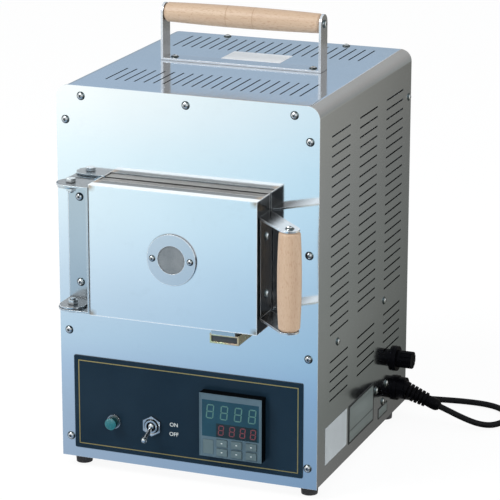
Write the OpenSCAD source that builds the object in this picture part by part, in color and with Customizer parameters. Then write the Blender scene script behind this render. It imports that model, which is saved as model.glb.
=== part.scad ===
// Bench-top electric kiln for jewellery: a folded stainless casing round an insulated chamber,
// with a side-hung door, a carrying handle and a control panel below the door.
// Sizes are in millimetres. Inside the modules X runs to the right along the front panel with 0 at its
// middle, Y runs back from the panel's face, and Z runs up from the panel's bottom edge.

/* [Casing] */
// Width of the front panel
case_w = 300; // [290:1:330]
// Depth from the front panel's face to the back edge
case_d = 310; // [305:1:350]
// Height of the front panel
case_h = 422; // [415:1:450]
// Corner radius at the top of the front panel
corner_r = 14; // [8:1:18]
// Thickness of the front panel
panel_t = 1.5; // [1:0.1:2]
// Thickness of the other casing sheets
sheet_t = 1.2; // [0.8:0.1:1.5]
// How far the front panel stands proud of the cover
cover_inset = 1; // [0.5:0.1:1.5]
// Width of the folded edge behind the front panel
fold_w = 20; // [17:1:22]
// Depth of the folded edge round the back panel
back_fold = 16; // [14:1:20]
// Height of the base tray's walls
tray_h = 36; // [32:1:37]
// Height of the shelf that carries the chamber
shelf_z = 156; // [152:1:160]
// Depth of the shelf's folded edges
shelf_fold = 16; // [14:1:18]

/* [Feet] */
// Height of a rubber foot
foot_h = 13; // [8:1:20]
// Radius of a foot at the tray
foot_r = 10; // [8:0.5:12]
// Taper of a foot towards the floor
foot_taper = 1; // [0:0.5:2]
// Distance from the side of the casing to a foot's middle
foot_side = 16; // [14:1:30]
// Distance from the front to a foot's middle
foot_front = 22; // [16:1:40]
// Distance from the back to a foot's middle
foot_back = 32; // [20:1:50]

/* [Vents] */
// Length of a vent slot
slot_len = 59; // [50:1:60]
// Width of a vent slot
slot_w = 1.9; // [1.5:0.1:2.5]
// Distance between the rows of side slots
slot_pitch = 10.95; // [9:0.05:11]
// Distance between the top slots
top_pitch = 11.15; // [9:0.05:11.5]
// Slots in each column of the upper group
slot_rows = 21; // [15:1:21]
// Slots in each column of the lower group
low_rows = 5; // [3:1:5]
// Distance from the cover's top to the highest side slot
slot_drop = 39; // [36:1:43]
// Height of the highest slot in the lower group
low_top = 132; // [128:1:134]
// Distance from the front to the first column of slots
slot_front = 41; // [36:1:45]
// Distance from one column of slots to the next
column_pitch = 90.5; // [85:0.5:92]
// Distance from the front to the front row of top slots
top_front = 44; // [38:1:50]
// Distance from the back edge to the back row of top slots
top_back = 20; // [18.5:0.5:24]

/* [Chamber] */
// Width inside the chamber
room_w = 120; // [110:1:126]
// Height inside the chamber
room_h = 88; // [80:1:90]
// Depth inside the chamber
room_d = 160; // [130:1:165]
// Thickness of the side bricks
side_brick = 50; // [45:1:52]
// Thickness of the floor and roof bricks
slab_brick = 52; // [50:1:54]
// Thickness of the back brick
back_brick = 60; // [45:1:62]
// Thickness of the chamber's steel case
liner_t = 1; // [0.8:0.1:1.2]
// Radius of a heating coil
coil_wire_r = 3.5; // [2.5:0.1:4]
// Heating coils in each side brick
heater_rows = 3; // [2:1:3]
// Radius of the temperature probe's sheath
probe_r = 4; // [3:0.1:5]
// How far the probe reaches into the chamber
probe_reach = 28; // [15:1:40]

/* [Door] */
// Width of the door
door_w = 192; // [188:1:194]
// Height of the door
door_h = 145; // [139:1:148]
// Distance from the front panel to the door's face
door_face = 39.5; // [38:0.5:41]
// Gap between the door's back edge and the front panel
door_gap = 2; // [1.8:0.1:2.5]
// Depth of the door's top and bottom folds
door_fold = 22; // [18:1:26]
// Thickness of the door's sheet
door_t = 1.2; // [1:0.1:1.5]
// How far the door's plug reaches into the chamber
plug_in = 12; // [8:1:13]
// Side clearance round the plug
plug_clear = 4.5; // [4.2:0.1:6]
// Outer radius of the peephole ring
peep_r = 27.75; // [26:0.25:29]
// Radius of the peephole
peep_hole_r = 15.5; // [14:0.25:16]
// Thickness of the peephole ring
peep_t = 2.6; // [2.4:0.1:3.5]
// Thickness of the peephole glass
glass_t = 1.6; // [1:0.1:1.8]

/* [Hinge] */
// Distance from the casing's middle to the hinge pin
hinge_x = 122.5; // [122:0.1:124]
// Distance from the front panel to the hinge pin
hinge_d = 25.5; // [25:0.1:26]
// Half width of the hinge bracket on the casing
ear_r = 14.5; // [14:0.1:15]
// Half width of the hinge bracket on the door
door_ear_r = 15.5; // [15:0.1:16]
// Height of the hinge bracket on the casing
hinge_h = 136; // [126:1:136]
// Thickness of the hinge and handle strips
strip_t = 2; // [1.5:0.1:2]
// Radius of the hinge bolts
bolt_r = 3; // [2.5:0.1:3]

/* [Door handle] */
// Radius of the wooden grip at its middle
grip_r = 12.8; // [11:0.1:14]
// Length of the wooden grip
grip_len = 107; // [90:1:110]
// Distance from the door's side to the grip's axis
grip_out = 44.4; // [40:0.1:50]
// Distance from the front panel to the grip's axis
grip_d = 62; // [58:1:70]
// Width of the handle strip
handle_w = 32; // [28:1:34]
// Radius of the handle arms' round ends
arm_end_r = 10.5; // [9:0.1:12]

/* [Carrying handle] */
// Outer width of the carrying handle
carry_w = 189; // [180:1:200]
// Width of the carrying handle's strip
carry_strip_w = 21; // [18:0.1:24]
// Thickness of the carrying handle's strip
carry_t = 2.5; // [2:0.1:3]
// Height of the carrying grip's axis above the cover
carry_z = 53; // [45:1:60]
// Radius of the carrying grip
carry_r = 12.2; // [10.5:0.1:12.5]
// Distance from the front panel to the carrying handle's middle
carry_y = 166; // [160:1:176]
// Distance between the carrying handle's base screws
carry_base = 164; // [150:1:166]

/* [Controls] */
// Width of the dark control plate
plate_w = 268; // [262:1:272]
// Height of the dark control plate
plate_h = 107.5; // [105:0.5:109]
// Thickness of the control plate
plate_t = 1; // [0.8:0.1:1.5]
// Height of the control plate's bottom edge
plate_z = 11.5; // [10:0.5:12.5]
// Side of the controller's square face
unit_w = 72; // [70:0.5:74]
// How far the controller stands out of the control plate
unit_d = 12; // [9:0.5:14]
// Distance from the casing's middle to the controller's middle
unit_x = 55.5; // [52:0.5:58]
// Height of the controller's middle
unit_z = 63; // [61:0.5:65]
// Depth of the controller behind the front panel
unit_back = 70; // [60:1:75]
// Travel of a key
key_travel = 1; // [0.5:0.1:1]
// Width of a key
key_w = 12; // [10:0.1:12.5]
// Height of a key
key_h = 8; // [6.5:0.1:8.2]
// Clearance round a key
key_gap = 0.3; // [0.3:0.05:0.5]
// Distance from the casing's middle to the pilot lamp
lamp_x = 86.5; // [80:0.5:95]
// Height of the pilot lamp
lamp_z = 47.5; // [44:0.5:60]
// Radius of the pilot lamp's cap
lamp_r = 6.6; // [5:0.1:7]
// Distance from the casing's middle to the switch
switch_x = 41; // [38:1:48]
// Height of the switch
switch_z = 48.5; // [46:0.5:60]
// Angle of the switch lever below level
lever_tilt = 22; // [18:1:25]

/* [Mains entry] */
// Distance from the front to the fuse holder
fuse_y = 268; // [262:1:272]
// Height of the fuse holder
fuse_z = 65; // [63:1:80]
// Radius of the fuse cap
fuse_r = 10; // [9:0.1:11]
// How far the fuse cap stands out of the casing
fuse_out = 22; // [21:0.5:30]
// Distance from the front to the cord gland
gland_y = 272; // [268:1:274]
// Height of the cord gland
gland_z = 28; // [27:0.5:30]
// Radius of the cord gland
gland_r = 14.5; // [13:0.1:15]
// Slope of the strain relief below level
relief_tilt = 20; // [10:1:22]

/* [Screws] */
// Radius of the casing screws' heads
head_r = 4.75; // [4:0.05:5]
// Height of the casing screws' heads
head_h = 2.6; // [2:0.1:3]
// Radius of the casing screws' threads
thread_r = 2.4; // [1.8:0.1:2.5]

/* [Hidden] */

big = 1000;
play = 0.3;
fit = 0.05;
hole_fit = 0.15;
socket_r = head_r * 0.38;
grip_head_r = 5;
grip_head_h = 3;
grip_socket_r = 2;
ring_screw_r = 1.6;
ring_head_r = 3.75;
ring_head_h = 2.2;
ring_socket_r = 1.4;

// Casing, worked out
cover_w = case_w - 2 * cover_inset;
cover_h = case_h - cover_inset;
cover_r = corner_r - cover_inset;
inner_w = cover_w - 2 * sheet_t;
inner_h = cover_h - sheet_t;
inner_r = cover_r - sheet_t;
slot_top = cover_h - slot_drop;
frame_y = panel_t + sheet_t;
back_y = case_d - sheet_t;
back_fold_y = back_y - back_fold;
foot_places = [for (sx = [-1, 1], y = [foot_front, case_d - foot_back])
    [sx * (case_w / 2 - foot_side), y]];

// Chamber, worked out
case_room_w = room_w + 2 * side_brick + 2 * liner_t;
case_room_h = room_h + 2 * slab_brick + 2 * liner_t;
brick_d = room_d + back_brick;
room_mid = shelf_z + case_room_h / 2;
room_low = room_mid - room_h / 2;
brick_low = room_low - slab_brick;
mouth_edge = 2;

// Door, worked out
door_back = -door_gap;
door_low = room_mid - door_h / 2;
door_high = room_mid + door_h / 2;
liner_gap = 0.2;
liner_side = door_w / 2 - door_t - liner_gap;
liner_half = door_h / 2 - door_t - liner_gap;
liner_front = door_t - door_face;
plug_w = room_w - 2 * plug_clear;
plug_h = room_h - 2 * plug_clear;
seal_w = 8;
sight_r = 9;
peep_screw = (peep_r + peep_hole_r) / 2;

// Hinge, worked out
hinge_mid = room_mid - 1;
fixed_low = hinge_mid - hinge_h / 2;
fixed_high = hinge_mid + hinge_h / 2;
moving_low = fixed_low - play - strip_t;
moving_high = fixed_high + play + strip_t;
hinge_head_h = 4;
hinge_nut_h = 5;
hinge_screws = [20, hinge_h - 20];

// Door handle, worked out
handle_mid = room_mid - 1;
handle_low = handle_mid - grip_len / 2;
handle_high = handle_mid + grip_len / 2;
handle_screws = [handle_low + 22, handle_high - 22];
handle_x = door_w / 2 + strip_t;
handle_y = -(door_gap + handle_w / 2);
grip_x = door_w / 2 + grip_out;
handle_r = handle_w / 2;
arm_end = [grip_x, -grip_d];
grip_bulge = 1.4;
grip_round = 3;
grip_screw_r = 2.9;
grip_screw_len = 28;

// Carrying handle, worked out
carry_arm_r = carry_strip_w / 2;
carry_top = cover_h + carry_z;
carry_len = carry_w - 2 * carry_t;

// Controls, worked out
plate_face = -plate_t;
unit_face = plate_face - unit_d;
unit_body_w = unit_w - 5;
window_w = unit_w * 0.915;
window_h = unit_w * 0.58;
window_t = 1;
window_top = unit_z + unit_w / 2 - unit_w * 0.1;
key_cols = [for (i = [0:2]) unit_x - unit_w / 2 + unit_w * (0.365 + 0.236 * i)];
key_rows = [for (i = [0:1]) unit_z + unit_w / 2 - unit_w * (0.764 + 0.145 * i)];
key_proud = 1.2;
key_deep = 4;
bush_r = 6;
nut_r = 9.6;
nut_t = 2.4;
switch_bush_r = 7.2;
switch_nut_r = 11.6;
switch_nut_t = 3;
bush_bore_r = switch_bush_r - 1.8;
lever_ball_r = bush_bore_r - 0.3;
lever_len = 24;
lever_r = 2.2;
lever_neck_r = 2.5;
lever_tip_r = 3.6;
bush_front = plate_face - switch_nut_t - 1.4;
lever_y = bush_front + 4;
switch_w = 18;
switch_h = 30;
switch_d = 26;

// Mains entry, worked out
side_x = cover_w / 2;
fuse_flange_r = 14.5;
fuse_flange_t = 4;
fuse_thread_r = 8;
gland_out = 13;
gland_thread_r = 10;
relief_r = 10.5;
relief_neck_r = 8.4;
relief_sleeve_r = 7;
relief_tip_r = 4.6;
relief_neck = 31;
relief_len = 48;
relief_ribs = 5;
cord_r = 3.5;
relief_root = [side_x + gland_out - 4, gland_y, gland_z];
relief_dir = [cos(relief_tilt), 0, -sin(relief_tilt)];
relief_tip = relief_root + relief_len * relief_dir;

// Cord route from the strain relief to the coil behind the casing
floor_z = -foot_h;
cord_z = floor_z + cord_r + 0.05;
coil_turns = 6;
coil_step = 7.5;
coil_in_r = 30;
coil_out_r = coil_in_r + coil_step * coil_turns / 2;
coil_x = 20;
coil_y = 395;
coil_sides = 6;
coil_rings = 24;
coil_lead = 7;
tail_len = 46;
cord_points = [
    [231, 273, 1], [247, 277, -5], [260, 286, -8.6], [269, 300, -9.4], [272, 318, -9.4],
    [265, 336, -9.4], [251, 349, -9.4], [232, 355, -9.4], [208, 355, -9.4], [180, 351, -9.4],
    [150, 346, -9.4], [120, 343, -9.4], [90, 342, -9.4], [60, 342.4, -9.4]
];
cord_sides = 10;
cord_steps = 3;

// Origin under the middle of the part's box, on the floor
low_x = -side_x - head_h;
high_x = side_x + fuse_out;
low_y = -grip_d - grip_r;
high_y = case_d;
frame_x = -(low_x + high_x) / 2;
frame_mid_y = -(low_y + high_y) / 2;

module placed() {
    translate([frame_x, frame_mid_y, foot_h]) children();
}

// An outline drawn in X and Z, made into a plate that runs back from y
module plate_y(y, depth) {
    translate([0, y + depth, 0]) rotate([90, 0, 0]) linear_extrude(depth) children();
}

// A block given by its lowest and highest corners
module block(low, high) {
    translate(low) cube(high - low);
}

// A round bar that runs back from y
module bar_y(x, y, z, r, len) {
    translate([x, y + len, z]) rotate([90, 0, 0]) cylinder(r = r, h = len, $fn = 48);
}

// A round bar that runs right from x
module bar_x(x, y, z, r, len) {
    translate([x, y, z]) rotate([0, 90, 0]) cylinder(r = r, h = len, $fn = 48);
}

// A domed screw with a hexagon socket; its head sits on Z = 0 and its thread runs down
module dome_screw(r, h, thread, len, socket) {
    dome = (r * r + h * h) / (2 * h);
    difference() {
        union() {
            rotate_extrude($fn = 48) intersection() {
                translate([0, h - dome]) circle(r = dome, $fn = 64);
                square([r, h]);
            }
            translate([0, 0, -len]) cylinder(r = thread, h = len, $fn = 32);
        }
        translate([0, 0, h * 0.35]) cylinder(r = socket, h = h, $fn = 6);
    }
}

// A casing screw that points back from the front
module front_screw(x, z, y = 0, len = 7) {
    translate([x, y, z]) rotate([90, 0, 0]) dome_screw(head_r, head_h, thread_r, len, socket_r);
}

// A casing screw that points in from the right or the left
module side_screw(side, y, z, len = 6) {
    translate([side * side_x, y, z]) rotate([0, side * 90, 0])
        dome_screw(head_r, head_h, thread_r, len, socket_r);
}

// A casing screw that points down from the top of the cover
module top_screw(x, y, z = cover_h, len = 6) {
    translate([x, y, z]) dome_screw(head_r, head_h, thread_r, len, socket_r);
}

// Rectangle with round top corners
module arch(w, h, r) {
    translate([-w / 2, 0]) square([w, h - r]);
    translate([-w / 2 + r, 0]) square([w - 2 * r, h]);
    for (s = [-1, 1]) translate([s * (w / 2 - r), h - r]) circle(r = r, $fn = 64);
}

// Rectangle with all corners round, drawn about its middle
module pad(w, h, r) {
    square([w - 2 * r, h], center = true);
    square([w, h - 2 * r], center = true);
    for (sx = [-1, 1], sy = [-1, 1])
        translate([sx * (w / 2 - r), sy * (h / 2 - r)]) circle(r = r, $fn = 32);
}

// Places of the casing's screws
panel_edge_x = case_w / 2 - 10.5;
panel_top_z = case_h - 11;
panel_mid_z = room_mid + 8.5;
shelf_front_z = shelf_z - 9;
panel_screw_places = [
    [-case_w / 2 + 29, panel_top_z], [0, panel_top_z], [case_w / 2 - 28, panel_top_z],
    [-panel_edge_x, case_h - 38], [panel_edge_x, case_h - 38],
    [panel_edge_x, panel_mid_z],
    [-panel_edge_x, shelf_front_z], [panel_edge_x, shelf_front_z],
    [-panel_edge_x, 23.5], [panel_edge_x, 23.5]
];
shelf_screw_z = shelf_z - 8;
shelf_screw_y = [66, 224];
back_screw_y = case_d - 8;
back_screw_z = slot_top - 14;
top_screw_x = 73;
entry_screws = [[236, 45], [200, 47.6]];
tray_screw = [224.5, 26.4];
bracket_screw_x = -hinge_x - 1;

// Base tray with turned-up walls; the front wall is cut down behind the controls
module base_tray() {
    wall = inner_w / 2;
    color("silver") placed() difference() {
        block([-wall, frame_y, 0], [wall, back_y, tray_h]);
        block([-wall + sheet_t, frame_y + sheet_t, sheet_t],
            [wall - sheet_t, back_y - sheet_t, tray_h + 1]);
        block([-wall + fold_w, frame_y - 1, fold_w - 4],
            [wall - fold_w, frame_y + sheet_t + 1, tray_h + 1]);
        for (p = foot_places) translate([p[0], p[1], -1])
            cylinder(r = thread_r + hole_fit, h = sheet_t + 2, $fn = 32);
        for (s = [-1, 1]) bar_y(s * panel_edge_x, frame_y - 1, 23.5, thread_r + hole_fit, sheet_t + 2);
        bar_x(wall - sheet_t - 1, tray_screw[0], tray_screw[1], thread_r + hole_fit, sheet_t + 2);
        bar_x(wall - sheet_t - 1, gland_y, gland_z, gland_thread_r + hole_fit, sheet_t + 2);
    }
}

// Four rubber feet, each with a pocket for its screw
module rubber_feet() {
    pocket_r = head_r + 0.5;
    color("dimgray") placed() for (p = foot_places) translate([p[0], p[1], -foot_h]) difference() {
        cylinder(r1 = foot_r - foot_taper, r2 = foot_r, h = foot_h, $fn = 48);
        translate([0, 0, -1]) cylinder(r = pocket_r, h = foot_h / 2 + 1, $fn = 48);
        translate([0, 0, -1]) cylinder(r = thread_r + hole_fit, h = foot_h + 2, $fn = 32);
    }
}

// Flat front panel with the chamber's mouth and the holes for the controls
module front_panel() {
    color("lightsteelblue") placed() difference() {
        plate_y(0, panel_t) arch(case_w, case_h, corner_r);
        block([-room_w / 2 - mouth_edge, -1, room_low - mouth_edge],
            [room_w / 2 + mouth_edge, panel_t + 1, room_low + room_h + mouth_edge]);
        for (p = panel_screw_places) bar_y(p[0], -1, p[1], thread_r + hole_fit, panel_t + 2);
        for (h = hinge_screws)
            bar_y(bracket_screw_x, -1, fixed_low + h, thread_r + hole_fit, panel_t + 2);
        bar_y(-lamp_x, -1, lamp_z, bush_r + hole_fit, panel_t + 2);
        bar_y(-switch_x, -1, switch_z, switch_bush_r + hole_fit, panel_t + 2);
        block([unit_x - unit_body_w / 2 - play, -1, unit_z - unit_body_w / 2 - play],
            [unit_x + unit_body_w / 2 + play, panel_t + 1, unit_z + unit_body_w / 2 + play]);
    }
}

// Screws round the front panel and in the hinge bracket
module panel_screws() {
    color("gainsboro") placed() {
        for (p = panel_screw_places) front_screw(p[0], p[1]);
        for (h = hinge_screws) front_screw(bracket_screw_x, fixed_low + h, -strip_t, 7 + strip_t);
    }
}

// Every slot of the side walls, cut through both walls at once
module side_slots() {
    for (col = [0:2]) {
        y = slot_front + col * column_pitch;
        for (row = [0:slot_rows - 1]) translate([-big / 2, y, slot_top - row * slot_pitch - slot_w])
            cube([big, slot_len, slot_w]);
        for (row = [0:low_rows - 1]) translate([-big / 2, y, low_top - row * slot_pitch - slot_w])
            cube([big, slot_len, slot_w]);
    }
}

// Every slot of the cover's top
module top_slots() {
    for (i = [0:slot_rows - 1]) {
        x = (i - (slot_rows - 1) / 2) * top_pitch;
        translate([x - slot_w / 2, top_front, cover_h - 5]) cube([slot_w, slot_len, 10]);
        translate([x - slot_w / 2, case_d - top_back - slot_len, cover_h - 5])
            cube([slot_w, slot_len, 10]);
    }
}

// Top and sides of the casing in one folded sheet, with a narrow fold behind the front panel
module wrap_cover() {
    color("lightslategray") placed() difference() {
        plate_y(panel_t, case_d - panel_t) arch(cover_w, cover_h, cover_r);
        plate_y(frame_y, case_d) translate([0, -1]) arch(inner_w, inner_h + 1, inner_r);
        block([-cover_w / 2 + fold_w, 0, -1], [cover_w / 2 - fold_w, frame_y + 1, cover_h - fold_w]);
        side_slots();
        top_slots();
        for (p = panel_screw_places) bar_y(p[0], 0, p[1], thread_r + hole_fit, frame_y + 1);
        for (s = [-1, 1]) {
            for (y = shelf_screw_y)
                bar_x(s * side_x - 3, y, shelf_screw_z, thread_r + hole_fit, 6);
            bar_x(s * side_x - 3, back_screw_y, back_screw_z, thread_r + hole_fit, 6);
            translate([s * top_screw_x, back_screw_y, cover_h - 3])
                cylinder(r = thread_r + hole_fit, h = 6, $fn = 32);
            translate([s * carry_base / 2, carry_y, cover_h - 3])
                cylinder(r = thread_r + hole_fit, h = 6, $fn = 32);
        }
        for (p = concat(entry_screws, [tray_screw]))
            bar_x(side_x - 3, p[0], p[1], thread_r + hole_fit, 6);
        bar_x(side_x - 3, fuse_y, fuse_z, fuse_thread_r + hole_fit, 6);
        bar_x(side_x - 3, gland_y, gland_z, gland_thread_r + hole_fit, 6);
    }
}

// Screws in the sides and top of the cover, and one up through each foot
module casing_screws() {
    color("gainsboro") placed() {
        for (p = foot_places) translate([p[0], p[1], -foot_h / 2]) rotate([180, 0, 0])
            dome_screw(head_r, head_h, thread_r, foot_h / 2 + sheet_t + 3, socket_r);
        for (s = [-1, 1]) {
            for (y = shelf_screw_y) side_screw(s, y, shelf_screw_z);
            side_screw(s, back_screw_y, back_screw_z);
            top_screw(s * top_screw_x, back_screw_y);
        }
        for (p = concat(entry_screws, [tray_screw])) side_screw(1, p[0], p[1]);
    }
}

// Back panel with a folded edge that the cover's screws grip
module back_panel() {
    fold_low = tray_h + 2;
    color("silver") placed() difference() {
        plate_y(back_fold_y, case_d - back_fold_y) arch(inner_w, inner_h, inner_r);
        plate_y(back_fold_y - 1, back_fold + 1) translate([0, -1])
            arch(inner_w - 2 * sheet_t, inner_h - sheet_t + 1, inner_r - sheet_t);
        block([-big / 2, back_fold_y - 1, -1], [big / 2, back_y, fold_low]);
        for (s = [-1, 1]) {
            bar_x(s * inner_w / 2 - 3, back_screw_y, back_screw_z, thread_r + hole_fit, 6);
            translate([s * top_screw_x, back_screw_y, inner_h - 3])
                cylinder(r = thread_r + hole_fit, h = 6, $fn = 32);
        }
        for (i = [0:8]) translate([(i - 4) * top_pitch * 1.6 - slot_w / 2, back_y - 1, low_top - slot_len])
            cube([slot_w, sheet_t + 2, slot_len]);
    }
}

// Shelf that carries the chamber and closes off the electrical space
module inner_shelf() {
    wall = inner_w / 2;
    shelf_back = back_fold_y - 1;
    color("silver") placed() difference() {
        block([-wall, frame_y, shelf_z - shelf_fold], [wall, shelf_back, shelf_z]);
        block([-wall + sheet_t, frame_y + sheet_t, shelf_z - shelf_fold - 1],
            [wall - sheet_t, shelf_back - sheet_t, shelf_z - sheet_t]);
        for (s = [-1, 1]) {
            bar_y(s * panel_edge_x, frame_y - 1, shelf_front_z, thread_r + hole_fit, sheet_t + 2);
            for (y = shelf_screw_y)
                bar_x(s * wall - 3, y, shelf_screw_z, thread_r + hole_fit, 6);
        }
    }
}

// Steel case round the bricks, open at the chamber's mouth
module chamber_case() {
    half = case_room_w / 2;
    color("silver") placed() difference() {
        block([-half, panel_t, shelf_z], [half, panel_t + brick_d + liner_t, shelf_z + case_room_h]);
        block([-half + liner_t, 0, shelf_z + liner_t],
            [half - liner_t, panel_t + brick_d, shelf_z + case_room_h - liner_t]);
        bar_y(0, panel_t + brick_d - 1, room_mid, probe_r + hole_fit, liner_t + 2);
    }
}

// Floor brick between the side bricks and in front of the back brick
module floor_brick() {
    color("ivory") placed()
        block([-room_w / 2, panel_t, brick_low], [room_w / 2, panel_t + room_d, room_low]);
}

module roof_brick() {
    half = room_w / 2 + side_brick;
    top = room_low + room_h;
    color("ivory") placed()
        block([-half, panel_t, top], [half, panel_t + brick_d, top + slab_brick]);
}

// Height of one heating coil above the chamber's floor
function heater_z(i) = room_low + room_h * (i + 0.5) / heater_rows;

heater_front = panel_t + 18;
heater_len = room_d - 18;

// Side brick with open grooves for the heating coils
module side_brick_block(side) {
    inside = room_w / 2;
    outside = inside + side_brick;
    low = min(side * inside, side * outside);
    difference() {
        block([low, panel_t, brick_low], [low + side_brick, panel_t + brick_d, room_low + room_h]);
        for (i = [0:heater_rows - 1])
            bar_y(side * (inside + coil_wire_r), heater_front - play, heater_z(i),
                coil_wire_r + play, heater_len + play);
    }
}

module left_brick() {
    color("ivory") placed() side_brick_block(-1);
}

module right_brick() {
    color("ivory") placed() side_brick_block(1);
}

module back_brick_block() {
    color("ivory") placed() difference() {
        block([-room_w / 2, panel_t + room_d, brick_low],
            [room_w / 2, panel_t + brick_d, room_low + room_h]);
        bar_y(0, panel_t + room_d - 1, room_mid, probe_r + hole_fit, back_brick + 2);
    }
}

// Heating coils, drawn at their outer size
module heating_coils() {
    color("dimgray") placed() for (s = [-1, 1], i = [0:heater_rows - 1])
        bar_y(s * (room_w / 2 + coil_wire_r), heater_front, heater_z(i), coil_wire_r, heater_len);
}

// Temperature probe in a ceramic sheath, with its connection head behind the chamber
module temperature_probe() {
    tail = panel_t + brick_d + liner_t;
    color("wheat") placed() {
        bar_y(0, panel_t + room_d - probe_reach, room_mid, probe_r,
            back_brick + liner_t + probe_reach + 2);
        bar_y(0, tail, room_mid, probe_r * 2.2, 16);
    }
}

// Glossy plate behind the controls
module control_plate() {
    color("midnightblue") placed() difference() {
        plate_y(plate_face, plate_t) translate([0, plate_z + plate_h / 2]) pad(plate_w, plate_h, 1.5);
        bar_y(-lamp_x, plate_face - 1, lamp_z, bush_r + hole_fit, plate_t + 2);
        bar_y(-switch_x, plate_face - 1, switch_z, switch_bush_r + hole_fit, plate_t + 2);
        block([unit_x - unit_body_w / 2 - play, plate_face - 1, unit_z - unit_body_w / 2 - play],
            [unit_x + unit_body_w / 2 + play, 1, unit_z + unit_body_w / 2 + play]);
    }
}

// One key's opening or body, as a block about its middle
module key_shape(i, grow, front, back) {
    x = key_cols[i % 3];
    z = key_rows[floor(i / 3)];
    block([x - key_w / 2 - grow, front, z - key_h / 2 - grow],
        [x + key_w / 2 + grow, back, z + key_h / 2 + grow]);
}

// Temperature controller: square bezel in front, body through the panel
module controller_case() {
    key_floor = unit_face + key_deep + key_travel + play;
    color("darkslategray") placed() difference() {
        union() {
            block([unit_x - unit_w / 2, unit_face, unit_z - unit_w / 2],
                [unit_x + unit_w / 2, plate_face, unit_z + unit_w / 2]);
            block([unit_x - unit_body_w / 2, plate_face, unit_z - unit_body_w / 2],
                [unit_x + unit_body_w / 2, panel_t + unit_back, unit_z + unit_body_w / 2]);
        }
        block([unit_x - window_w / 2, unit_face - 1, window_top - window_h],
            [unit_x + window_w / 2, unit_face + window_t, window_top]);
        for (i = [0:5]) key_shape(i, key_gap, unit_face - 1, key_floor);
    }
}

module controller_window() {
    color("darkcyan") placed()
        block([unit_x - window_w / 2, unit_face, window_top - window_h],
            [unit_x + window_w / 2, unit_face + window_t, window_top]);
}

// One rubber key
module key(i) {
    color("slategray") placed() key_shape(i, 0, unit_face - key_proud, unit_face + key_deep);
}

module key_1() { key(0); }
module key_2() { key(1); }
module key_3() { key(2); }
module key_4() { key(3); }
module key_5() { key(4); }
module key_6() { key(5); }

// Pilot lamp's bush and body
module lamp_body() {
    color("silver") placed() {
        bar_y(-lamp_x, plate_face - 2, lamp_z, lamp_r + 1.3, 2);
        bar_y(-lamp_x, plate_face, lamp_z, bush_r, panel_t + plate_t + 22);
        bar_y(-lamp_x, panel_t, lamp_z, nut_r, nut_t);
    }
}

// Pilot lamp's domed cap
module lamp_cap() {
    cap_len = 9;
    dome_h = 2;
    dome = (lamp_r * lamp_r + dome_h * dome_h) / (2 * dome_h);
    color("teal") placed() translate([-lamp_x, plate_face - 2, lamp_z]) rotate([90, 0, 0]) {
        cylinder(r = lamp_r, h = cap_len, $fn = 48);
        translate([0, 0, cap_len - 1]) rotate_extrude($fn = 48) intersection() {
            translate([0, 1 + dome_h - dome]) circle(r = dome, $fn = 64);
            square([lamp_r, dome_h + 1]);
        }
    }
}

// Toggle switch: body behind the panel and threaded bush in front
module switch_body() {
    color("silver") placed() difference() {
        union() {
            bar_y(-switch_x, bush_front, switch_z, switch_bush_r, panel_t - bush_front);
            block([-switch_x - switch_w / 2, panel_t, switch_z - switch_h / 2],
                [-switch_x + switch_w / 2, panel_t + switch_d, switch_z + switch_h / 2]);
        }
        bar_y(-switch_x, bush_front - 1, switch_z, bush_bore_r,
            lever_y + lever_ball_r + play - bush_front + 1);
    }
}

// Six-sided nut with a corner at the top and a dished face
module switch_nut() {
    color("gainsboro") placed() translate([-switch_x, plate_face, switch_z]) rotate([90, 30, 0])
        difference() {
            cylinder(r = switch_nut_r, h = switch_nut_t, $fn = 6);
            translate([0, 0, -1]) cylinder(r = switch_bush_r + fit, h = switch_nut_t + 2, $fn = 48);
            translate([0, 0, switch_nut_t - 0.8])
                cylinder(r1 = switch_bush_r + fit, r2 = switch_bush_r + 2, h = 0.9, $fn = 48);
        }
}

// Switch lever: ball in the bush, round arm and fuller tip
module switch_lever() {
    color("gainsboro") placed() translate([-switch_x, lever_y, switch_z])
        rotate([90 + lever_tilt, 0, 0]) {
            sphere(r = lever_ball_r, $fn = 32);
            cylinder(r1 = lever_r, r2 = lever_neck_r, h = lever_len, $fn = 32);
            translate([0, 0, lever_len]) sphere(r = lever_tip_r, $fn = 32);
        }
}

// Heat sink on the tray, and the power relay that it cools
sink_low = [-118, 130, sheet_t];
sink_size = [70, 90, 26];
relay_size = [45, 60, 26];

module heat_sink() {
    color("silver") placed() {
        block(sink_low + [0, 0, sink_size[2] - 5], sink_low + sink_size);
        for (i = [0:7]) translate(sink_low + [i * (sink_size[0] - 3) / 7, 0, 0])
            cube([3, sink_size[1], sink_size[2] - 4]);
    }
}

module power_relay() {
    low = sink_low + [(sink_size[0] - relay_size[0]) / 2, (sink_size[1] - relay_size[1]) / 2,
        sink_size[2]];
    notch = [14, 12, 8];
    color("black") placed() difference() {
        block(low, low + relay_size);
        for (sx = [0, 1], sy = [0, 1])
            translate(low + [sx * (relay_size[0] - notch[0]), sy * (relay_size[1] - notch[1]),
                relay_size[2] - notch[2]])
                cube(notch + [0, 0, 1]);
    }
}

// Angle bracket on the right wall, above the tray, and the terminal block on it
bracket_low_z = tray_h + 2;
bracket_y = [192, 246];

module terminal_bracket() {
    wall = inner_w / 2;
    color("silver") placed() difference() {
        block([wall - 36, bracket_y[0], bracket_low_z], [wall, bracket_y[1], bracket_low_z + 18]);
        block([wall - 37, bracket_y[0] - 1, bracket_low_z + 1.5],
            [wall - 1.5, bracket_y[1] + 1, bracket_low_z + 19]);
        for (p = entry_screws) bar_x(wall - 3, p[0], p[1], thread_r + hole_fit, 6);
    }
}

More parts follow.
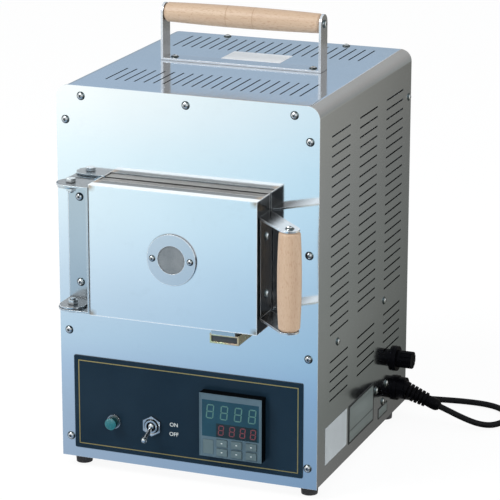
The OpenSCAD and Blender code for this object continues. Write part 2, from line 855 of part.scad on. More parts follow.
module terminal_block() {
    x = inner_w / 2 - 34;
    z = bracket_low_z + 1.5;
    color("beige") placed() difference() {
        block([x, bracket_y[0] + 3, z], [x + 20, bracket_y[1] - 3, z + 16]);
        for (i = [0:3]) translate([x + 10, bracket_y[0] + 9 + i * 12, z + 8])
            cylinder(r = 3, h = 10, $fn = 32);
    }
}

// Fuse holder through the right wall, and its turning cap
module fuse_holder() {
    color("black") placed() difference() {
        union() {
            bar_x(side_x, fuse_y, fuse_z, fuse_flange_r, fuse_flange_t);
            bar_x(side_x - 38, fuse_y, fuse_z, fuse_thread_r, 38);
        }
        bar_x(side_x - 10, fuse_y, fuse_z, fuse_thread_r - 2, 20);
    }
}

module fuse_cap() {
    cap_len = fuse_out - fuse_flange_t - play;
    color("black") placed() {
        difference() {
            bar_x(side_x + fuse_flange_t + play, fuse_y, fuse_z, fuse_r, cap_len);
            block([side_x + fuse_out - 2, fuse_y - 1, fuse_z - fuse_r - 1],
                [side_x + fuse_out + 1, fuse_y + 1, fuse_z + fuse_r + 1]);
            for (i = [0:11]) translate([side_x + fuse_flange_t + 4, fuse_y, fuse_z])
                rotate([i * 30, 0, 0]) translate([0, fuse_r, 0]) rotate([0, 90, 0])
                    cylinder(r = 0.8, h = cap_len, $fn = 16);
        }
        bar_x(side_x - 8, fuse_y, fuse_z, fuse_thread_r - 2 - play, 8 + fuse_flange_t + play + 1);
    }
}

// The relief's outer sleeve along its own sloping axis
module along_relief() {
    translate(relief_root) rotate([0, 90 + relief_tilt, 0]) children();
}

// Gland through the right wall, with a nut inside
module cord_gland() {
    nut_x = inner_w / 2 - sheet_t;
    color("black") placed() difference() {
        union() {
            bar_x(side_x, gland_y, gland_z, gland_r, 4);
            bar_x(side_x, gland_y, gland_z, gland_r - 1.5, gland_out);
            bar_x(nut_x - 8, gland_y, gland_z, gland_thread_r, 8 + side_x - nut_x);
            translate([nut_x, gland_y, gland_z]) rotate([0, -90, 0])
                cylinder(r = gland_thread_r + 4, h = 4, $fn = 6);
        }
        along_relief() cylinder(r = relief_r, h = relief_len, $fn = 48);
    }
}

// Tapered strain relief: flexing grooves near the gland, then a smooth sleeve with a rounded end
module cord_relief() {
    first_groove = 6.5;
    rib_pitch = (relief_neck - first_groove) / relief_ribs;
    groove = rib_pitch * 0.45;
    core_r = relief_sleeve_r - 0.7;
    color("black") placed() along_relief() {
        difference() {
            cylinder(r1 = relief_r, r2 = relief_neck_r, h = relief_neck, $fn = 48);
            for (i = [0:relief_ribs - 1]) translate([0, 0, first_groove + i * rib_pitch]) difference() {
                cylinder(r = relief_r + 1, h = groove, $fn = 48);
                translate([0, 0, -1]) cylinder(r = core_r, h = groove + 2, $fn = 48);
            }
        }
        rotate_extrude($fn = 48) polygon([[0, relief_neck - 1], [core_r, relief_neck - 1],
            [relief_sleeve_r, relief_neck + 6], [relief_sleeve_r, relief_len - 5],
            [relief_sleeve_r - 0.6, relief_len - 2.5], [relief_tip_r, relief_len], [0, relief_len]]);
    }
}

// Point on a smooth curve through four points, at t from 0 to 1 between the middle two
function between(a, b, c, d, t) = 0.5 * (2 * b + (c - a) * t
    + (2 * a - 5 * b + 4 * c - d) * t * t + (3 * b - a - 3 * c + d) * t * t * t);
function unit(v) = v / norm(v);
function point_at(list, i) = list[max(0, min(len(list) - 1, i))];
function smooth(list, steps) = concat(
    [for (i = [0:len(list) - 2], s = [0:steps - 1])
        between(point_at(list, i - 1), list[i], list[i + 1], point_at(list, i + 2), s / steps)],
    [list[len(list) - 1]]);
function heading(list, i) = unit(point_at(list, i + 1) - point_at(list, i - 1));

// Tube along a list of points, closed at both ends
module tube(path, r, sides) {
    n = len(path);
    rings = [for (i = [0:n - 1])
        let (t = heading(path, i), side = unit(cross(t, [0, 0, 1])), up = cross(side, t))
        for (k = [0:sides - 1]) let (a = 360 * (k + 0.5) / sides)
            path[i] + r * (cos(a) * side + sin(a) * up)];
    faces = concat(
        [for (k = [1:sides - 2]) [0, k, k + 1]],
        [for (k = [1:sides - 2]) let (e = (n - 1) * sides) [e, e + k + 1, e + k]],
        [for (i = [0:n - 2], k = [0:sides - 1])
            let (a = i * sides, b = a + sides, m = (k + 1) % sides) [a + k, b + k, a + m]],
        [for (i = [0:n - 2], k = [0:sides - 1])
            let (a = i * sides, b = a + sides, m = (k + 1) % sides) [a + m, b + k, b + m]]);
    polyhedron(points = rings, faces = faces, convexity = 10);
}

coil_start = [coil_x, coil_y - coil_out_r, cord_z];
cord_route = concat(
    [relief_tip, relief_tip + 2 * cord_r * relief_dir, relief_tip + 4 * cord_r * relief_dir],
    cord_points,
    [for (i = [3:-1:1]) coil_start + [coil_lead * i, 0, 0]]);

// Free run of the cord, from the strain relief to the coil
module power_cord() {
    color("black") placed() tube(smooth(cord_route, cord_steps), cord_r, cord_sides);
}

// The coil spirals in along the floor, climbs one layer where it turns, and spirals out on top
half_turns = 180 * coil_turns;
function coil_radius(a) = coil_in_r + coil_step * abs(half_turns - a) / 360;
function coil_climb(a) = let (s = max(0, min(1, (a - half_turns + 90) / 180))) (1 - cos(180 * s)) / 2;
function coil_point(a) = [coil_x, coil_y, cord_z]
    + [-coil_radius(a) * sin(a), -coil_radius(a) * cos(a), coil_step * coil_climb(a)];
coil_end = coil_point(360 * coil_turns);
coil_path = concat(
    [coil_start + [coil_lead, 0, 0]],
    [for (i = [0:coil_turns * coil_rings]) coil_point(i * 360 / coil_rings)],
    [coil_end - [tail_len / 2, 0, 0], coil_end - [tail_len, 0, 0]]);

// Least distance between points of the coil that lie more than half a turn apart
coil_count = len(coil_path);
coil_gap = min([for (i = [0:coil_count - 1], j = [i + coil_rings / 2:coil_count - 1])
    norm(coil_path[i] - coil_path[j])]) - 2 * cord_r;
echo(least_gap_in_the_coil = coil_gap);

module cord_coil() {
    color("black") placed() tube(coil_path, cord_r, coil_sides);
}

// Moulded plug lying on the floor beside the coil, with two flat blades and an earth pin
plug_half_w = 14;
plug_relief = 16;
plug_body = 34;
blade_len = 17;
blade_x = 6.35;
blade_t = 1.5;
blade_z = [-1, 5.3];
earth_z = -7;
earth_r = 2.4;
earth_len = 20;

module mains_plug() {
    tail = coil_end - [tail_len, 0, 0];
    half_h = tail[2] - floor_z;
    color("black") placed() translate(tail) {
        rotate([0, -90, 0]) cylinder(r1 = cord_r + 1.5, r2 = half_h - 1, h = plug_relief, $fn = 48);
        block([-plug_relief - plug_body, -plug_half_w, -half_h], [-plug_relief, plug_half_w, half_h]);
        for (s = [-1, 1])
            block([-plug_relief - plug_body - blade_len, s * blade_x - blade_t / 2, blade_z[0]],
                [-plug_relief - plug_body, s * blade_x + blade_t / 2, blade_z[1]]);
        translate([1 - plug_relief - plug_body - earth_len, 0, earth_z]) rotate([0, 90, 0])
            cylinder(r = earth_r, h = earth_len, $fn = 32);
    }
}

// Door's outer pan: the side walls reach back to the casing, the top and bottom folds are shorter
module door_pan() {
    half = door_w / 2;
    color("lightsteelblue") placed() difference() {
        block([-half, -door_face, door_low], [half, door_back, door_high]);
        block([-half + door_t, -door_face + door_t, door_low + door_t],
            [half - door_t, door_back + 1, door_high - door_t]);
        for (z = [door_low - 1, door_high - door_t - 1])
            block([-half + door_t, -door_face + door_fold, z],
                [half - door_t, door_back + 1, z + door_t + 2]);
        bar_y(0, -door_face - 1, room_mid, peep_hole_r, door_t + 2);
        for (s = [-1, 1])
            bar_y(s * peep_screw, -door_face - 1, room_mid, ring_screw_r + hole_fit, door_t + 2);
        for (h = hinge_screws)
            bar_x(-half - 1, -hinge_d, fixed_low + h, thread_r + hole_fit, door_t + 2);
        for (z = handle_screws)
            bar_x(half - door_t - 1, handle_y, z, thread_r + hole_fit, door_t + 2);
    }
}

// Inner pan that closes the door towards the chamber
module door_liner() {
    color("gray") placed() difference() {
        block([-liner_side, liner_front, room_mid - liner_half],
            [liner_side, door_back, room_mid + liner_half]);
        block([-liner_side + liner_t, liner_front - 1, room_mid - liner_half + liner_t],
            [liner_side - liner_t, door_back - liner_t, room_mid + liner_half - liner_t]);
        block([-plug_w / 2, -5, room_mid - plug_h / 2], [plug_w / 2, 1, room_mid + plug_h / 2]);
        for (h = hinge_screws)
            bar_x(-liner_side - 1, -hinge_d, fixed_low + h, thread_r + hole_fit, liner_t + 2);
        for (z = handle_screws)
            bar_x(liner_side - liner_t - 1, handle_y, z, thread_r + hole_fit, liner_t + 2);
    }
}

// Fibre block in the door, with the plug that enters the chamber's mouth and the sight hole
module door_insulation() {
    half_w = liner_side - liner_t;
    half_h = liner_half - liner_t;
    color("ivory") placed() difference() {
        union() {
            block([-half_w, liner_front, room_mid - half_h],
                [half_w, door_back - liner_t, room_mid + half_h]);
            block([-plug_w / 2, -6, room_mid - plug_h / 2],
                [plug_w / 2, panel_t + plug_in, room_mid + plug_h / 2]);
        }
        bar_y(0, -door_face, room_mid, sight_r, door_face + plug_in + 5);
        for (s = [-1, 1]) bar_y(s * peep_screw, liner_front - 1, room_mid, 2, 12);
        for (h = hinge_screws)
            bar_x(-half_w - 1, -hinge_d, fixed_low + h, thread_r + 1, 9);
        for (z = handle_screws)
            bar_x(half_w - 8, handle_y, z, thread_r + 1, 9);
    }
}

// Flat rope seal round the plug
module door_seal() {
    in_w = plug_w + 6;
    in_h = plug_h + 6;
    color("white") placed() difference() {
        block([-in_w / 2 - seal_w, door_back, room_mid - in_h / 2 - seal_w],
            [in_w / 2 + seal_w, -play, room_mid + in_h / 2 + seal_w]);
        block([-in_w / 2, door_back - 1, room_mid - in_h / 2], [in_w / 2, 1, room_mid + in_h / 2]);
    }
}

module peephole_ring() {
    rebate_r = peep_hole_r + 3;
    color("silver") placed() difference() {
        bar_y(0, -door_face - peep_t, room_mid, peep_r, peep_t);
        bar_y(0, -door_face - peep_t - 1, room_mid, peep_hole_r, peep_t + 2);
        bar_y(0, -door_face - glass_t, room_mid, rebate_r, glass_t + 1);
        for (s = [-1, 1])
            bar_y(s * peep_screw, -door_face - peep_t - 1, room_mid, ring_screw_r + hole_fit, peep_t + 2);
    }
}

module peephole_glass() {
    color("lightgray") placed()
        bar_y(0, -door_face - glass_t, room_mid, peep_hole_r + 2.8, glass_t);
}

// Screws of the peephole ring, the door's hinge bracket and the handle
module door_screws() {
    color("gainsboro") placed() {
        for (s = [-1, 1]) translate([s * peep_screw, -door_face - peep_t, room_mid])
            rotate([90, 0, 0]) dome_screw(ring_head_r, ring_head_h, ring_screw_r, 9, ring_socket_r);
        for (h = hinge_screws) translate([-door_w / 2 - strip_t, -hinge_d, fixed_low + h])
            rotate([0, -90, 0]) dome_screw(head_r, head_h, thread_r, 8, socket_r);
        for (z = handle_screws) translate([handle_x, handle_y, z])
            rotate([0, 90, 0]) dome_screw(head_r, head_h, thread_r, 8, socket_r);
    }
}

// Point where a straight edge from p touches the round arm end, on the side given by the sign
function touch(p, side) = let (d = p - arm_end, n = norm(d), c = arm_end_r / n)
    arm_end + arm_end_r * (c * d + side * sqrt(1 - c * c) * [-d[1], d[0]]) / n;

// Outline of a handle arm, seen from above: it narrows from the door's side to the grip
module handle_arm() {
    back = [door_w / 2, handle_y + handle_r];
    front = [door_w / 2, handle_y - handle_r];
    difference() {
        union() {
            polygon([back, front, touch(front, 1), touch(back, -1)]);
            translate(arm_end) circle(r = arm_end_r, $fn = 64);
        }
        translate(arm_end) circle(r = grip_screw_r + hole_fit, $fn = 32);
    }
}

// Handle strip: flat on the door's side, with an arm turned out at each end
module handle_strip() {
    color("silver") placed() difference() {
        union() {
            block([door_w / 2, handle_y - handle_r, handle_low - strip_t],
                [handle_x, handle_y + handle_r, handle_high + strip_t]);
            for (z = [handle_low - strip_t, handle_high])
                translate([0, 0, z]) linear_extrude(strip_t) handle_arm();
        }
        for (z = handle_screws)
            bar_x(door_w / 2 - 1, handle_y, z, thread_r + hole_fit, strip_t + 2);
    }
}

// Turned grip standing on Z = 0, slightly fuller in the middle, with a screw hole in each end
module turned_grip(r, len) {
    end_r = r - grip_bulge - grip_round + 0.6;
    hole_len = grip_screw_len + 1;
    side = [for (t = [-1:0.2:1]) [r - grip_bulge * t * t, len / 2 + (len / 2 - grip_round) * t]];
    difference() {
        rotate_extrude($fn = 64) polygon(concat([[0, 0], [end_r, 0]], side, [[end_r, len], [0, len]]));
        for (z = [-1, len - hole_len]) translate([0, 0, z])
            cylinder(r = grip_screw_r + hole_fit, h = hole_len + 1, $fn = 32);
    }
}

module handle_grip() {
    color("burlywood") placed() translate([grip_x, -grip_d, handle_low])
        turned_grip(grip_r, grip_len);
}

// Screws into the ends of both wooden grips
module grip_screws() {
    len = grip_screw_len + strip_t;
    color("gainsboro") placed() {
        translate([grip_x, -grip_d, handle_high + strip_t])
            dome_screw(grip_head_r, grip_head_h, grip_screw_r, len, grip_socket_r);
        translate([grip_x, -grip_d, handle_low - strip_t]) rotate([180, 0, 0])
            dome_screw(grip_head_r, grip_head_h, grip_screw_r, len, grip_socket_r);
    }
}

// Ear outline seen from above: a straight part towards x_end and a round end about the hinge pin
module ear(r, x_end, y_end) {
    translate([-hinge_x, -hinge_d]) circle(r = r, $fn = 64);
    if (x_end != 0) translate([-hinge_x, -hinge_d - r]) square([x_end, 2 * r]);
    if (y_end != 0) translate([-hinge_x - r, -hinge_d]) square([2 * r, y_end]);
}

// Hinge bracket on the door's left side, with an ear above and below the fixed one
module door_bracket() {
    ear_x = hinge_x - door_w / 2;
    color("silver") placed() difference() {
        union() {
            block([-door_w / 2 - strip_t, -hinge_d - door_ear_r, moving_low],
                [-door_w / 2, -hinge_d + door_ear_r, moving_high]);
            for (z = [moving_low, moving_high - strip_t])
                translate([0, 0, z]) linear_extrude(strip_t) ear(door_ear_r, ear_x, 0);
        }
        translate([-hinge_x, -hinge_d, moving_low - 1])
            cylinder(r = bolt_r + fit, h = moving_high - moving_low + 2, $fn = 48);
        for (h = hinge_screws)
            bar_x(-door_w / 2 - strip_t - 1, -hinge_d, fixed_low + h, thread_r + hole_fit, strip_t + 2);
    }
}

// Hinge bracket on the front panel
module hinge_bracket() {
    color("silver") placed() difference() {
        union() {
            block([-hinge_x - ear_r, -strip_t, fixed_low], [-hinge_x + ear_r, 0, fixed_high]);
            for (z = [fixed_low, fixed_high - strip_t])
                translate([0, 0, z]) linear_extrude(strip_t) ear(ear_r, 0, hinge_d);
        }
        translate([-hinge_x, -hinge_d, fixed_low - 1])
            cylinder(r = bolt_r + fit, h = hinge_h + 2, $fn = 48);
        for (h = hinge_screws)
            bar_y(bracket_screw_x, -strip_t - 1, fixed_low + h, thread_r + hole_fit, strip_t + 2);
    }
}

// Two hinge bolts, one through each pair of ears, each with its own nut inside
module hinge_bolts() {
    reach = 2 * play + 2 * strip_t;
    hex_r = bolt_r * 1.9;
    color("gainsboro") placed() for (s = [-1, 1]) {
        outer = s > 0 ? moving_high + play : moving_low - play;
        translate([-hinge_x, -hinge_d, outer]) mirror([0, 0, s > 0 ? 0 : 1]) {
            cylinder(r = hex_r, h = hinge_head_h, $fn = 6);
            translate([0, 0, -reach - hinge_nut_h - 2])
                cylinder(r = bolt_r, h = reach + hinge_nut_h + 3, $fn = 48);
            translate([0, 0, -reach - hinge_nut_h]) difference() {
                cylinder(r = hex_r, h = hinge_nut_h, $fn = 6);
                translate([0, 0, -1]) cylinder(r = bolt_r + fit, h = hinge_nut_h + 2, $fn = 48);
            }
        }
    }
}

// Magnetic catch under the door
catch_x = [40, 73];
catch_h = 10.4;
catch_d = 33;
catch_wall = 1.8;
magnet_in = 1.5;
strike_t = 5.6;
strike_in = 3;
catch_top = door_low - strike_t - 2 * play;
catch_low = catch_top - catch_h;

// Yellow housing on the panel, open towards the front
module catch_body() {
    color("goldenrod") placed() difference() {
        block([catch_x[0], -catch_d, catch_low], [catch_x[1], 0, catch_top]);
        block([catch_x[0] + catch_wall, -catch_d - 1, catch_low + catch_wall],
            [catch_x[1] - catch_wall, -catch_wall, catch_top - catch_wall]);
    }
}

// Magnet inside the housing, a little behind its front edge
module catch_magnet() {
    color("dimgray") placed()
        block([catch_x[0] + catch_wall, magnet_in - catch_d, catch_low + catch_wall],
            [catch_x[1] - catch_wall, -catch_wall, catch_top - catch_wall]);
}

// Steel strike on the underside of the door, just above the magnet
module catch_strike() {
    color("silver") placed()
        block([catch_x[0] + strike_in, -door_face + strike_in, door_low - strike_t],
            [catch_x[1] - strike_in, -door_face + door_fold - 1, door_low]);
}

// Carrying handle's strip, seen from the front: flat base and two upright arms
module carry_outline() {
    half = carry_w / 2;
    difference() {
        translate([-half, 0]) square([carry_w, carry_z]);
        translate([-half + carry_t, carry_t]) square([carry_w - 2 * carry_t, carry_z]);
    }
}

module carry_strip() {
    half = carry_w / 2;
    color("silver") placed() translate([0, 0, cover_h]) difference() {
        union() {
            plate_y(carry_y - carry_arm_r, carry_strip_w) carry_outline();
            for (x = [-half, half - carry_t]) bar_x(x, carry_y, carry_z, carry_arm_r, carry_t);
        }
        for (x = [-half, half - carry_t])
            bar_x(x - 1, carry_y, carry_z, grip_screw_r + hole_fit, carry_t + 2);
        for (s = [-1, 1]) translate([s * carry_base / 2, carry_y, -1])
            cylinder(r = thread_r + hole_fit, h = carry_t + 2, $fn = 32);
    }
}

module carry_grip() {
    color("burlywood") placed() translate([-carry_len / 2, carry_y, carry_top]) rotate([0, 90, 0])
        turned_grip(carry_r, carry_len);
}

// Screws of the carrying handle: two through its base and one into each end of the grip
module carry_screws() {
    color("gainsboro") placed() for (s = [-1, 1]) {
        top_screw(s * carry_base / 2, carry_y, cover_h + carry_t, 9);
        translate([s * carry_w / 2, carry_y, carry_top]) rotate([0, s * 90, 0])
            dome_screw(grip_head_r, grip_head_h, grip_screw_r, grip_screw_len + carry_t,
                grip_socket_r);
    }
}

base_tray();
rubber_feet();
front_panel();
panel_screws();
wrap_cover();
casing_screws();
back_panel();
inner_shelf();
chamber_case();
floor_brick();
roof_brick();
left_brick();
right_brick();
back_brick_block();
heating_coils();
temperature_probe();
control_plate();
controller_case();
controller_window();
key_1();
key_2();
key_3();
key_4();
key_5();
key_6();
lamp_body();
lamp_cap();
switch_body();
switch_nut();
switch_lever();
power_relay();
heat_sink();
terminal_block();
terminal_bracket();
fuse_holder();
fuse_cap();
cord_gland();
cord_relief();
power_cord();
cord_coil();
mains_plug();
door_pan();
door_liner();
door_insulation();
door_seal();
peephole_ring();
peephole_glass();
door_screws();
handle_strip();
handle_grip();
grip_screws();
door_bracket();
hinge_bracket();
hinge_bolts();
catch_body();
catch_magnet();
catch_strike();
carry_strip();
carry_grip();
carry_screws();
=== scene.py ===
import math

import bmesh
import bpy
from mathutils import Matrix, Vector


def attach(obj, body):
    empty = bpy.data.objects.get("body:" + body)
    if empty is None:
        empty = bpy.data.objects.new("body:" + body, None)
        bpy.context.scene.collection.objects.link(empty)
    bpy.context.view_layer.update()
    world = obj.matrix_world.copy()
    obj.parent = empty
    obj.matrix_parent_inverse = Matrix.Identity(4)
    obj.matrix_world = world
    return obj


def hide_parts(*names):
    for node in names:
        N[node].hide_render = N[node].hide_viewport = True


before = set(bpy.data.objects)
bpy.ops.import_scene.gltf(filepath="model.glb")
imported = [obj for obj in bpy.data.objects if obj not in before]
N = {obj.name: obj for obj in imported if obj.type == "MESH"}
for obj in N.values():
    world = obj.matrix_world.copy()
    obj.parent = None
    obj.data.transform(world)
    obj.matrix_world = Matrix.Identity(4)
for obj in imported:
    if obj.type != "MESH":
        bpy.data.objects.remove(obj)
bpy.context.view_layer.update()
scene = bpy.context.scene


# ---------------------------------------------------------------- frame and small helpers
MM = 1000  # millimetres in a metre
SHIFT = (-9.7, -117.6, 13)


def A(x, y, z):
    """A point given as the casing sees it, in millimetres, as a point of the shared frame in metres."""
    return Vector(((x + SHIFT[0]) / MM, (y + SHIFT[1]) / MM, (z + SHIFT[2]) / MM))


# Places on the casing, in millimetres. The front panel's face is Y = 0 and its foot is Z = 0.
SIDE_X = 149.0
PLATE_Y = -1.0
DOOR_FRONT_Y, DOOR_MID_Z = -39.5, 253
DOOR_FOLD_Y = -29.5  # the painted highlight along the door's front fold ends here


def link(obj, body=None, mat=None, smooth=None):
    """Put an object in the scene with its material, and let it ride on a body."""
    scene.collection.objects.link(obj)
    if mat is not None:
        obj.data.materials.append(mat)
    if smooth is not None:
        soften(obj, smooth)
    if body:
        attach(obj, body)
    return obj


def soften(obj, degrees):
    """Smooth shading below this angle, hard edges above it."""
    bm = bmesh.new()
    bm.from_mesh(obj.data)
    limit = math.radians(degrees)
    for f in bm.faces:
        f.smooth = True
    for e in bm.edges:
        e.smooth = len(e.link_faces) == 2 and e.calc_face_angle(0.0) < limit
    bm.to_mesh(obj.data)
    bm.free()


def mesh(name, verts, faces):
    me = bpy.data.meshes.new(name)
    me.from_pydata([tuple(v) for v in verts], [], faces)
    me.validate()
    me.update()
    return bpy.data.objects.new(name, me)


def from_bmesh(name, bm, outward=False):
    """An object made of a bmesh, which is used up."""
    if outward:
        bmesh.ops.recalc_face_normals(bm, faces=bm.faces[:])
    me = bpy.data.meshes.new(name)
    bm.to_mesh(me)
    bm.free()
    return bpy.data.objects.new(name, me)


def boxes(name, items, bevel=0.0, segments=2):
    """One mesh of boxes given by (low corner, high corner) in casing millimetres, with round edges."""
    bm = bmesh.new()
    for low, high in items:
        part = bmesh.ops.create_cube(bm, size=1)
        lo, hi = A(*low), A(*high)
        for v in part["verts"]:
            v.co = Vector([lo[i] + (v.co[i] + 0.5) * (hi[i] - lo[i]) for i in range(3)])
    if bevel:
        bmesh.ops.bevel(bm, geom=bm.edges[:], offset=bevel / MM, segments=segments, profile=0.5,
                        affect="EDGES")
    return from_bmesh(name, bm)


def sweep(name, path, r, sides, closed=False, twist=0.0):
    """A round tube along points in metres."""
    n = len(path)
    verts, faces = [], []
    normal = None
    for i, p in enumerate(path):
        a = path[(i - 1) % n] if closed or i else p
        b = path[(i + 1) % n] if closed or i < n - 1 else p
        t = (b - a).normalized()
        if normal is None:
            up = Vector((0, 0, 1)) if abs(t.z) < 0.9 else Vector((1, 0, 0))
            normal = t.cross(up).normalized()
        normal = (normal - t * normal.dot(t)).normalized()
        other = t.cross(normal)
        for k in range(sides):
            w = 2 * math.pi * k / sides + twist * i
            verts.append(p + normal * (r * math.cos(w)) + other * (r * math.sin(w)))
    last = n if closed else n - 1
    for i in range(last):
        for k in range(sides):
            a, b = i * sides, ((i + 1) % n) * sides
            m = (k + 1) % sides
            faces.append((a + k, a + m, b + m, b + k))
    if not closed:
        faces.append(tuple(range(sides))[::-1])
        faces.append(tuple((n - 1) * sides + k for k in range(sides)))
    return mesh(name, verts, faces)


# ---------------------------------------------------------------- camera, solved from the photo
EYE = A(1027.3, -2455.5, 1036.3)
FOCAL_PX, PHOTO_PX, SENSOR_MM = 2600.8, 500, 36
yaw, pitch, roll = (math.radians(a) for a in (21.242, 16.403, 0.097))
forward = Vector((-math.sin(yaw) * math.cos(pitch), math.cos(yaw) * math.cos(pitch), -math.sin(pitch)))
right = Vector((math.cos(yaw), math.sin(yaw), 0))
above = right.cross(forward)
cam_x = right * math.cos(roll) + above * math.sin(roll)
cam_y = above * math.cos(roll) - right * math.sin(roll)
camera = bpy.data.objects.new("camera", bpy.data.cameras.new("camera"))
scene.collection.objects.link(camera)
turn = Matrix((cam_x, cam_y, -forward)).transposed()
camera.matrix_world = Matrix.Translation(EYE) @ turn.to_4x4()
camera.data.sensor_width = SENSOR_MM
camera.data.lens = FOCAL_PX * SENSOR_MM / PHOTO_PX
camera.data.clip_start, camera.data.clip_end = 0.1, 50
scene.camera = camera


# ---------------------------------------------------------------- materials
class Shade:
    """A small helper that wires up one procedural material."""

    def __init__(self, name, color, metallic=0.0, rough=0.5, **sockets):
        self.mat = bpy.data.materials.new(name)
        self.mat.use_nodes = True
        self.mat.diffuse_color = (*color, 1)
        self.t = self.mat.node_tree
        self.bsdf = self.t.nodes["Principled BSDF"]
        self.bsdf.inputs["Base Color"].default_value = (*color, 1)
        self.bsdf.inputs["Metallic"].default_value = metallic
        self.bsdf.inputs["Roughness"].default_value = rough
        for key, value in sockets.items():
            self.bsdf.inputs[key.replace("_", " ")].default_value = value
        self.pos = self.node("ShaderNodeTexCoord").outputs["Object"]
        self.normal = None
        self.band = None  # where a shade function paints a highlight, by bleaching the metal

    def node(self, kind, **values):
        n = self.t.nodes.new(kind)
        for key, value in values.items():
            setattr(n, key, value)
        return n

    def link(self, a, b):
        self.t.links.new(a, b)

    def mapped(self, scale):
        m = self.node("ShaderNodeMapping")
        m.inputs["Scale"].default_value = scale
        self.link(self.pos, m.inputs["Vector"])
        return m.outputs["Vector"]

    def noise(self, scale, detail=4.0, roughness=0.55, vector=None, distortion=0.0):
        n = self.node("ShaderNodeTexNoise")
        n.inputs["Scale"].default_value = scale
        n.inputs["Detail"].default_value = detail
        n.inputs["Roughness"].default_value = roughness
        n.inputs["Distortion"].default_value = distortion
        self.link(vector or self.pos, n.inputs["Vector"])
        return n.outputs["Fac"]

    def ramp(self, fac, stops, interpolation="LINEAR"):
        r = self.node("ShaderNodeValToRGB")
        r.color_ramp.interpolation = interpolation
        e = r.color_ramp.elements
        while len(e) < len(stops):
            e.new(0.5)
        for item, (at, c) in zip(e, stops):
            item.position = at
            item.color = (*c, 1) if len(c) == 3 else c
        self.link(fac, r.inputs["Fac"])
        return r.outputs["Color"]

    def grey(self, fac, low, high, a=0.3, b=0.7):
        """A value that goes from low to high while fac goes from a to b."""
        return self.ramp(fac, [(a, (low,) * 3), (b, (high,) * 3)])

    def math(self, op, a, b=None, c=None, clamp=False):
        m = self.node("ShaderNodeMath", operation=op, use_clamp=clamp)
        for i, v in enumerate((a, b, c)):
            if v is None:
                continue
            if isinstance(v, (int, float)):
                m.inputs[i].default_value = v
            else:
                self.link(v, m.inputs[i])
        return m.outputs[0]

    def mix(self, fac, a, b, blend="MIX"):
        m = self.node("ShaderNodeMix", data_type="RGBA", blend_type=blend)
        for socket, v in ((m.inputs[0], fac), (m.inputs[6], a), (m.inputs[7], b)):
            if isinstance(v, (int, float)):
                socket.default_value = v
            elif isinstance(v, tuple):
                socket.default_value = (*v, 1) if len(v) == 3 else v
            else:
                self.link(v, socket)
        return m.outputs[2]

    def color(self, value):
        self.link(value, self.bsdf.inputs["Base Color"])

    def rough(self, value):
        self.link(value, self.bsdf.inputs["Roughness"])

    def bump(self, height, strength=0.2, distance=0.0005):
        b = self.node("ShaderNodeBump")
        b.inputs["Strength"].default_value = strength
        b.inputs["Distance"].default_value = distance
        self.link(height, b.inputs["Height"])
        if self.normal is not None:
            self.link(self.normal, b.inputs["Normal"])
        self.normal = b.outputs["Normal"]
        self.link(self.normal, self.bsdf.inputs["Normal"])

    def round_edges(self, radius):
        b = self.node("ShaderNodeBevel", samples=4)
        b.inputs["Radius"].default_value = radius
        self.normal = b.outputs["Normal"]
        self.link(self.normal, self.bsdf.inputs["Normal"])

    def xyz(self, vector=None):
        s = self.node("ShaderNodeSeparateXYZ")
        self.link(vector or self.pos, s.inputs[0])
        return s.outputs

    def seam(self, reach, low=0.35, high=0.85):
        """Painted shade mask: 1 in narrow gaps and at the foot of what stands on the surface, 0 elsewhere."""
        ao = self.node("ShaderNodeAmbientOcclusion", samples=6)
        ao.inputs["Distance"].default_value = reach
        return self.grey(ao.outputs["AO"], 1.0, 0.0, low, high)

    def edge(self, radius, amount=1.0):
        """Painted highlight mask: 1 on the sharp edges, 0 elsewhere."""
        b = self.node("ShaderNodeBevel", samples=6)
        b.inputs["Radius"].default_value = radius
        g = self.node("ShaderNodeNewGeometry")
        dot = self.node("ShaderNodeVectorMath", operation="DOT_PRODUCT")
        self.link(b.outputs["Normal"], dot.inputs[0])
        self.link(g.outputs["Normal"], dot.inputs[1])
        return self.grey(dot.outputs["Value"], amount, 0.0, 0.9, 0.985)


def sheet_metal(name, color, rough, spread=0.05, grain=None, dirt=0.0, edge=0.0, edge_highlight=0.0, seam=0.0,
                wave=0.25, shade=None):
    """Rolled sheet steel: cloudy tint, faint smears, hairline scratches, painted edge highlights and gap
    shade.
    """
    s = Shade(name, color, 1.0, rough)
    if edge:
        s.round_edges(edge)
    cloud = s.noise(7.0, 3.0)
    light = tuple(min(1, c * (1 + spread)) for c in color)
    dark = tuple(c * (1 - spread) for c in color)
    tint = s.ramp(cloud, [(0.3, dark), (0.7, light)])
    if dirt:
        spots = s.noise(55.0, 6.0, 0.7)
        mask = s.grey(spots, 0.0, dirt, 0.55, 0.8)
        tint = s.mix(mask, tint, tuple(c * 0.45 for c in color))
    if shade:
        tint = shade(s, tint)
    # Painted highlight: sharp edges, and any band a shade function gives, go near white and less metallic.
    if edge_highlight:
        bright = s.edge(edge_highlight, 0.8)
        if s.band is not None:
            bright = s.math("MAXIMUM", bright, s.band)
        tint = s.mix(bright, tint, (0.93, 0.95, 0.96))
        s.link(s.math("SUBTRACT", 1.0, s.math("MULTIPLY", bright, 0.7)), s.bsdf.inputs["Metallic"])
    # Painted shade: the colour goes dark in narrow gaps and round the foot of whatever stands on the surface.
    if seam:
        tint = s.mix(s.seam(seam), tint, tuple(c * 0.1 for c in color))
    s.color(tint)
    stretch = grain or (1, 1, 1)
    hair = s.noise(260.0, 3.0, 0.6, s.mapped(stretch))
    smear = s.noise(18.0, 5.0, 0.65)
    s.rough(s.math("ADD", s.grey(smear, rough * 0.75, rough * 1.35), s.grey(hair, 0.0, rough * 0.3)))
    s.bump(hair, 0.05 if rough < 0.15 else 0.12, 0.0002)
    if wave:
        s.bump(s.noise(3.2, 2.0), wave, 0.0012)
    return s.mat


